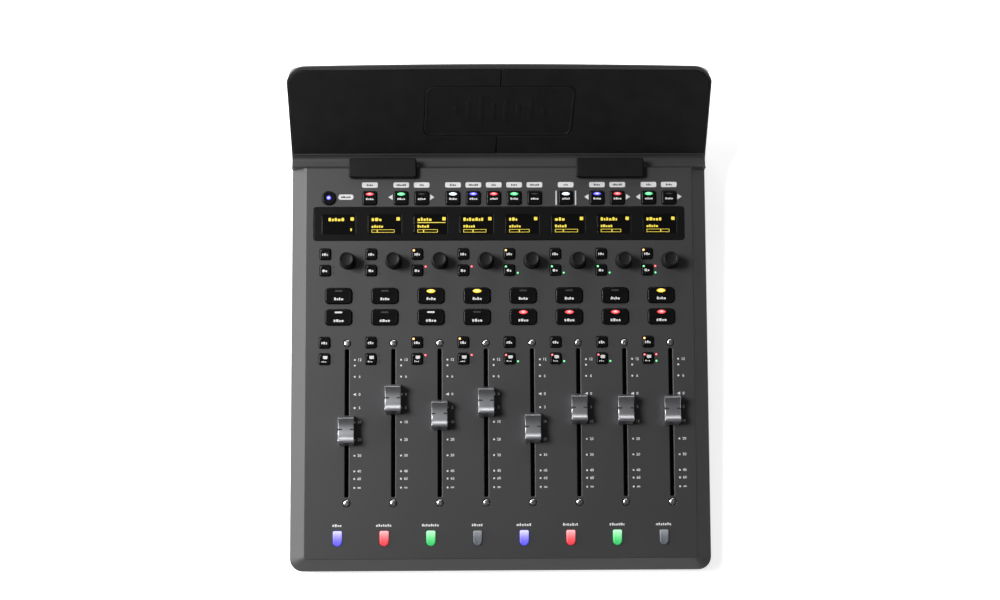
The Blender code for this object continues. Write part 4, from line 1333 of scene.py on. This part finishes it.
def printed(mesh, outline, u, v):
    plate(mesh, moved(outline, u, v), PRINT_LOW, PRINT_TOP)


def arrow(side):
    """Small triangle that points left or right."""
    points = [(1.65, -2.2), (1.65, 2.2), (-1.65, 0)]
    return points if side < 0 else [(-a, b) for a, b in reversed(points)]


def build_prints(mesh):
    for u in COLUMNS:
        for v in [v for v, digits in SCALE] + [EXTRA_DOT_V]:
            pointer = [(1.1, -1.15), (1.1, 1.15), (-1.3, 0)]
            printed(mesh, pointer if v == UNITY_V else circle(0.72, 16), u + DOT_SHIFT, v)
    for u in FUNCTION_PLACES:
        printed(mesh, rectangle((12.1, 4.1), 1.1), u, FUNCTION_V + 10.2)
    shift_u, shift_v = centre_on_deck("shift_key")
    printed(mesh, rectangle((11.6, 4.1), 1.8), shift_u + 12.9, shift_v + 0.9)
    for first, second in ((1, 2), (9, 10), (11, 12)):
        printed(mesh, arrow(-1), FUNCTION_PLACES[first] - 8.2, FUNCTION_V + 0.7)
        printed(mesh, arrow(1), FUNCTION_PLACES[second] + 8.2, FUNCTION_V + 0.7)
    for side in (-1, 1):
        printed(mesh, rectangle((0.9, 11.0)), FUNCTION_PLACES[8] + side * 7.5, FUNCTION_V)
    for n in range(1, 9):
        u, v = centre_on_deck(f"soft_key_{n}")
        word(mesh, u - 0.3, v + 9.9, SOFT_WORDS[n - 1], 2.0, 0.0, n)


def build_pill_words(mesh):
    for n, u in enumerate(FUNCTION_PLACES):
        word(mesh, u, FUNCTION_V + 10.2, (4.6, 7.0, 3.4)[n % 3], 1.5, PRINT_TOP, n)
    shift_u, shift_v = centre_on_deck("shift_key")
    word(mesh, shift_u + 12.9, shift_v + 0.9, 7.0, 1.6, PRINT_TOP, 1)


def make_prints():
    piece("panel_prints", build_prints, DECK, M["ink"])
    piece("panel_numbers", build_numbers, DECK, M["ink"])
    piece("pill_words", build_pill_words, DECK, M["dim_ink"])
    spots = []
    for rows, shift in ((UPPER_ROWS, UPPER_SHIFT), (LOWER_ROWS, LOWER_SHIFT)):
        for n, u in enumerate(COLUMNS, 1):
            red = "red" if n in PANEL_RED else ""
            green = "green" if n in PANEL_GREEN else ""
            spots.append((red, circle(0.95 if red else 0.6, 16), u + shift + 6.3, rows[0] + 2.9, 0.0, 0.45))
            spots.append((green, circle(0.8 if green else 0.6, 16), u + shift + 6.4, rows[0] - 2.1, 0.0, 0.4))
    grouped_lamps("panel_lamps", "console", DECK, spots)


# Rear sockets and what stays of the CAD nodes.


def make_sockets():
    face = REAR_WALL_Y

    def nuts(mesh):
        for x in PEDAL_X:
            outer, inner = moved(circle(5.35, 40), x, -PEDAL_Z), moved(circle(3.5, 40), x, -PEDAL_Z)
            outside = ((inner, face - 3.5), (outer, face - 3.5), (outer, face - 0.5))
            front = ((grown(outer, -0.3), face - 0.15), (grown(inner, 0.3), face - 0.15))
            tube(mesh, *outside, *front, (inner, face - 0.5))

    def shield_frame(mesh):
        outer = moved(rectangle((16.0, 13.4), 0.8), NETWORK_X, -SOCKET_MIDDLE)
        inner = moved(rectangle((12.2, 8.4), 0.4), NETWORK_X, -24.0)
        outside = ((inner, face - 6), (outer, face - 6), (outer, face - 0.35))
        front = ((grown(outer, -0.25), face - 0.1), (grown(inner, 0.25), face - 0.1))
        tube(mesh, *outside, *front, (inner, face - 0.35))

    def contacts(mesh):
        for n in range(8):
            x = NETWORK_X + (n - 3.5) * 1.02
            block(mesh, (x - 0.25, x + 0.25), (-20.9, -20.2), (face - 14, face - 5))

    def power_face(mesh):
        outer = moved(rectangle((9.3, 13.4), 1.2), POWER_X, -SOCKET_MIDDLE)
        slab(mesh, outer, face - 3.0, face - 0.2, 0.4)

    def power_bore(mesh):
        plate(mesh, moved(circle(3.15), POWER_X, -POWER_Z), face - 12, face + 2)

    def power_pin(mesh):
        pin = ((0, -14), (0.95, -14), (0.95, -4.4), (0.6, -3.9), (0, -3.8))
        turned(mesh, [(radius, face + level) for radius, level in pin], 24, POWER_X, -POWER_Z)

    piece("pedal_nuts", nuts, LYING, M["steel"])
    piece("network_shield", shield_frame, LYING, M["steel"])
    piece("network_contacts", contacts, LYING, M["gold"])
    data = carved_mesh("power_inlet", power_face, LYING, ((power_bore, LYING),))
    piece("power_inlet", data, LYING, M["socket"])
    piece("power_inlet_pin", power_pin, LYING, M["steel"])


def make_rocker():
    joint = named(frame["joints"], "power_rocker")
    place = Matrix.Translation(Vector(joint["pos_m"]))
    face, tilt = 2.8, math.tan(math.radians(14))

    def build(mesh):
        front = [(face, -7, 0.4), (face, 0, 0), (face + 7 * tilt, 7, 0.4)]
        rear = [(0.5, 6, 0), (-4, 3, 0), (-4, -3, 0), (0.5, -6, 0)]
        sideways_prism(mesh, rounded_path(front + rear, 4), (-4.6, 4.6))

    piece("rocker_switch", build, place, M["socket"], "power_switch", ("power_switch",), 50)

    def marks(mesh):
        block(mesh, (-0.35, 0.35), (face - 0.3, face + 0.03), (-5.2, -2.6))

    piece("rocker_mark", marks, place, M["ink"], "power_switch")


def dress_nodes():
    """CAD nodes that stay get their materials here."""
    for node, material in (
        ("control_board", "board"),
        ("soft_key_board", "board"),
        ("connector_board", "socket"),
        # The fader bank's dark steel is painted shade: it stands in for the darkness inside the fader slots.
        ("fader_bank", "slot_shade_metal"),
    ):
        data = NODES[node].data
        for index in range(len(data.materials)):
            data.materials[index] = M[material]


# Stage.


def area_light(name, place, target, size, power):
    data = bpy.data.lights.new(name, "AREA")
    data.shape = "RECTANGLE"
    data.size, data.size_y = size
    data.energy = power
    item = bpy.data.objects.new(name, data)
    item.location = place
    item.rotation_euler = (Vector(target) - Vector(place)).to_track_quat("-Z", "Y").to_euler()
    bpy.context.scene.collection.objects.link(item)


def make_stage():
    floor_mesh = bmesh.new()
    bmesh.ops.create_grid(floor_mesh, x_segments=8, y_segments=8, size=40.0)
    data = bpy.data.meshes.new("floor")
    floor_mesh.to_mesh(data)
    floor_mesh.free()
    floor = bpy.data.objects.new("floor", data)
    bpy.context.scene.collection.objects.link(floor)
    paper = plain("paper", (0.90, 0.90, 0.90), 0.85, 2.0, 0.01, 400.0, 0.004)
    paper.set(emission_color=(1, 1, 1, 1), emission_strength=0.75)
    data.materials.append(paper.material)

    world = bpy.data.worlds.new("studio")
    world.use_nodes = True
    backdrop = world.node_tree.nodes["Background"]
    backdrop.inputs["Color"].default_value = (1.0, 1.0, 1.0, 1)
    backdrop.inputs["Strength"].default_value = 0.05
    bpy.context.scene.world = world
    area_light("key_light", (-1.5, 0.33, 1.95), (0, 0, 0), (0.85, 0.85), 72)
    area_light("left_softbox", (-2.0, 0.0, 0.5), (0, 0, 0.03), (1.8, 0.7), 30)
    area_light("rear_softbox", (-0.1, 1.4, 1.0), (0, 0, 0), (1.5, 0.4), 9)


def make_camera():
    data = bpy.data.cameras.new("camera")
    data.lens = 59.4
    data.sensor_width = 36
    camera = bpy.data.objects.new("camera", data)
    turn = Matrix.Rotation(math.radians(-0.944), 4, "Y") @ Matrix.Rotation(math.radians(8.689), 4, "X")
    turn = turn @ Matrix.Rotation(math.radians(-0.33), 4, "Z")
    camera.matrix_world = at(PLAN, -20.45, 13.81, 1284.2) @ turn
    bpy.context.scene.collection.objects.link(camera)
    bpy.context.scene.camera = camera


bpy.context.scene.view_settings.view_transform = "Standard"
make_camera()
make_stage()
make_case()
make_tray()
make_rear_cover()
make_backrest()
make_stops()
make_feet()
make_wide_keys()
make_soft_keys()
make_function_keys()
make_shift_key()
make_small_keys()
make_knobs()
make_caps()
make_panel_screws()
make_display()
make_prints()
make_sockets()
make_rocker()
dress_nodes()
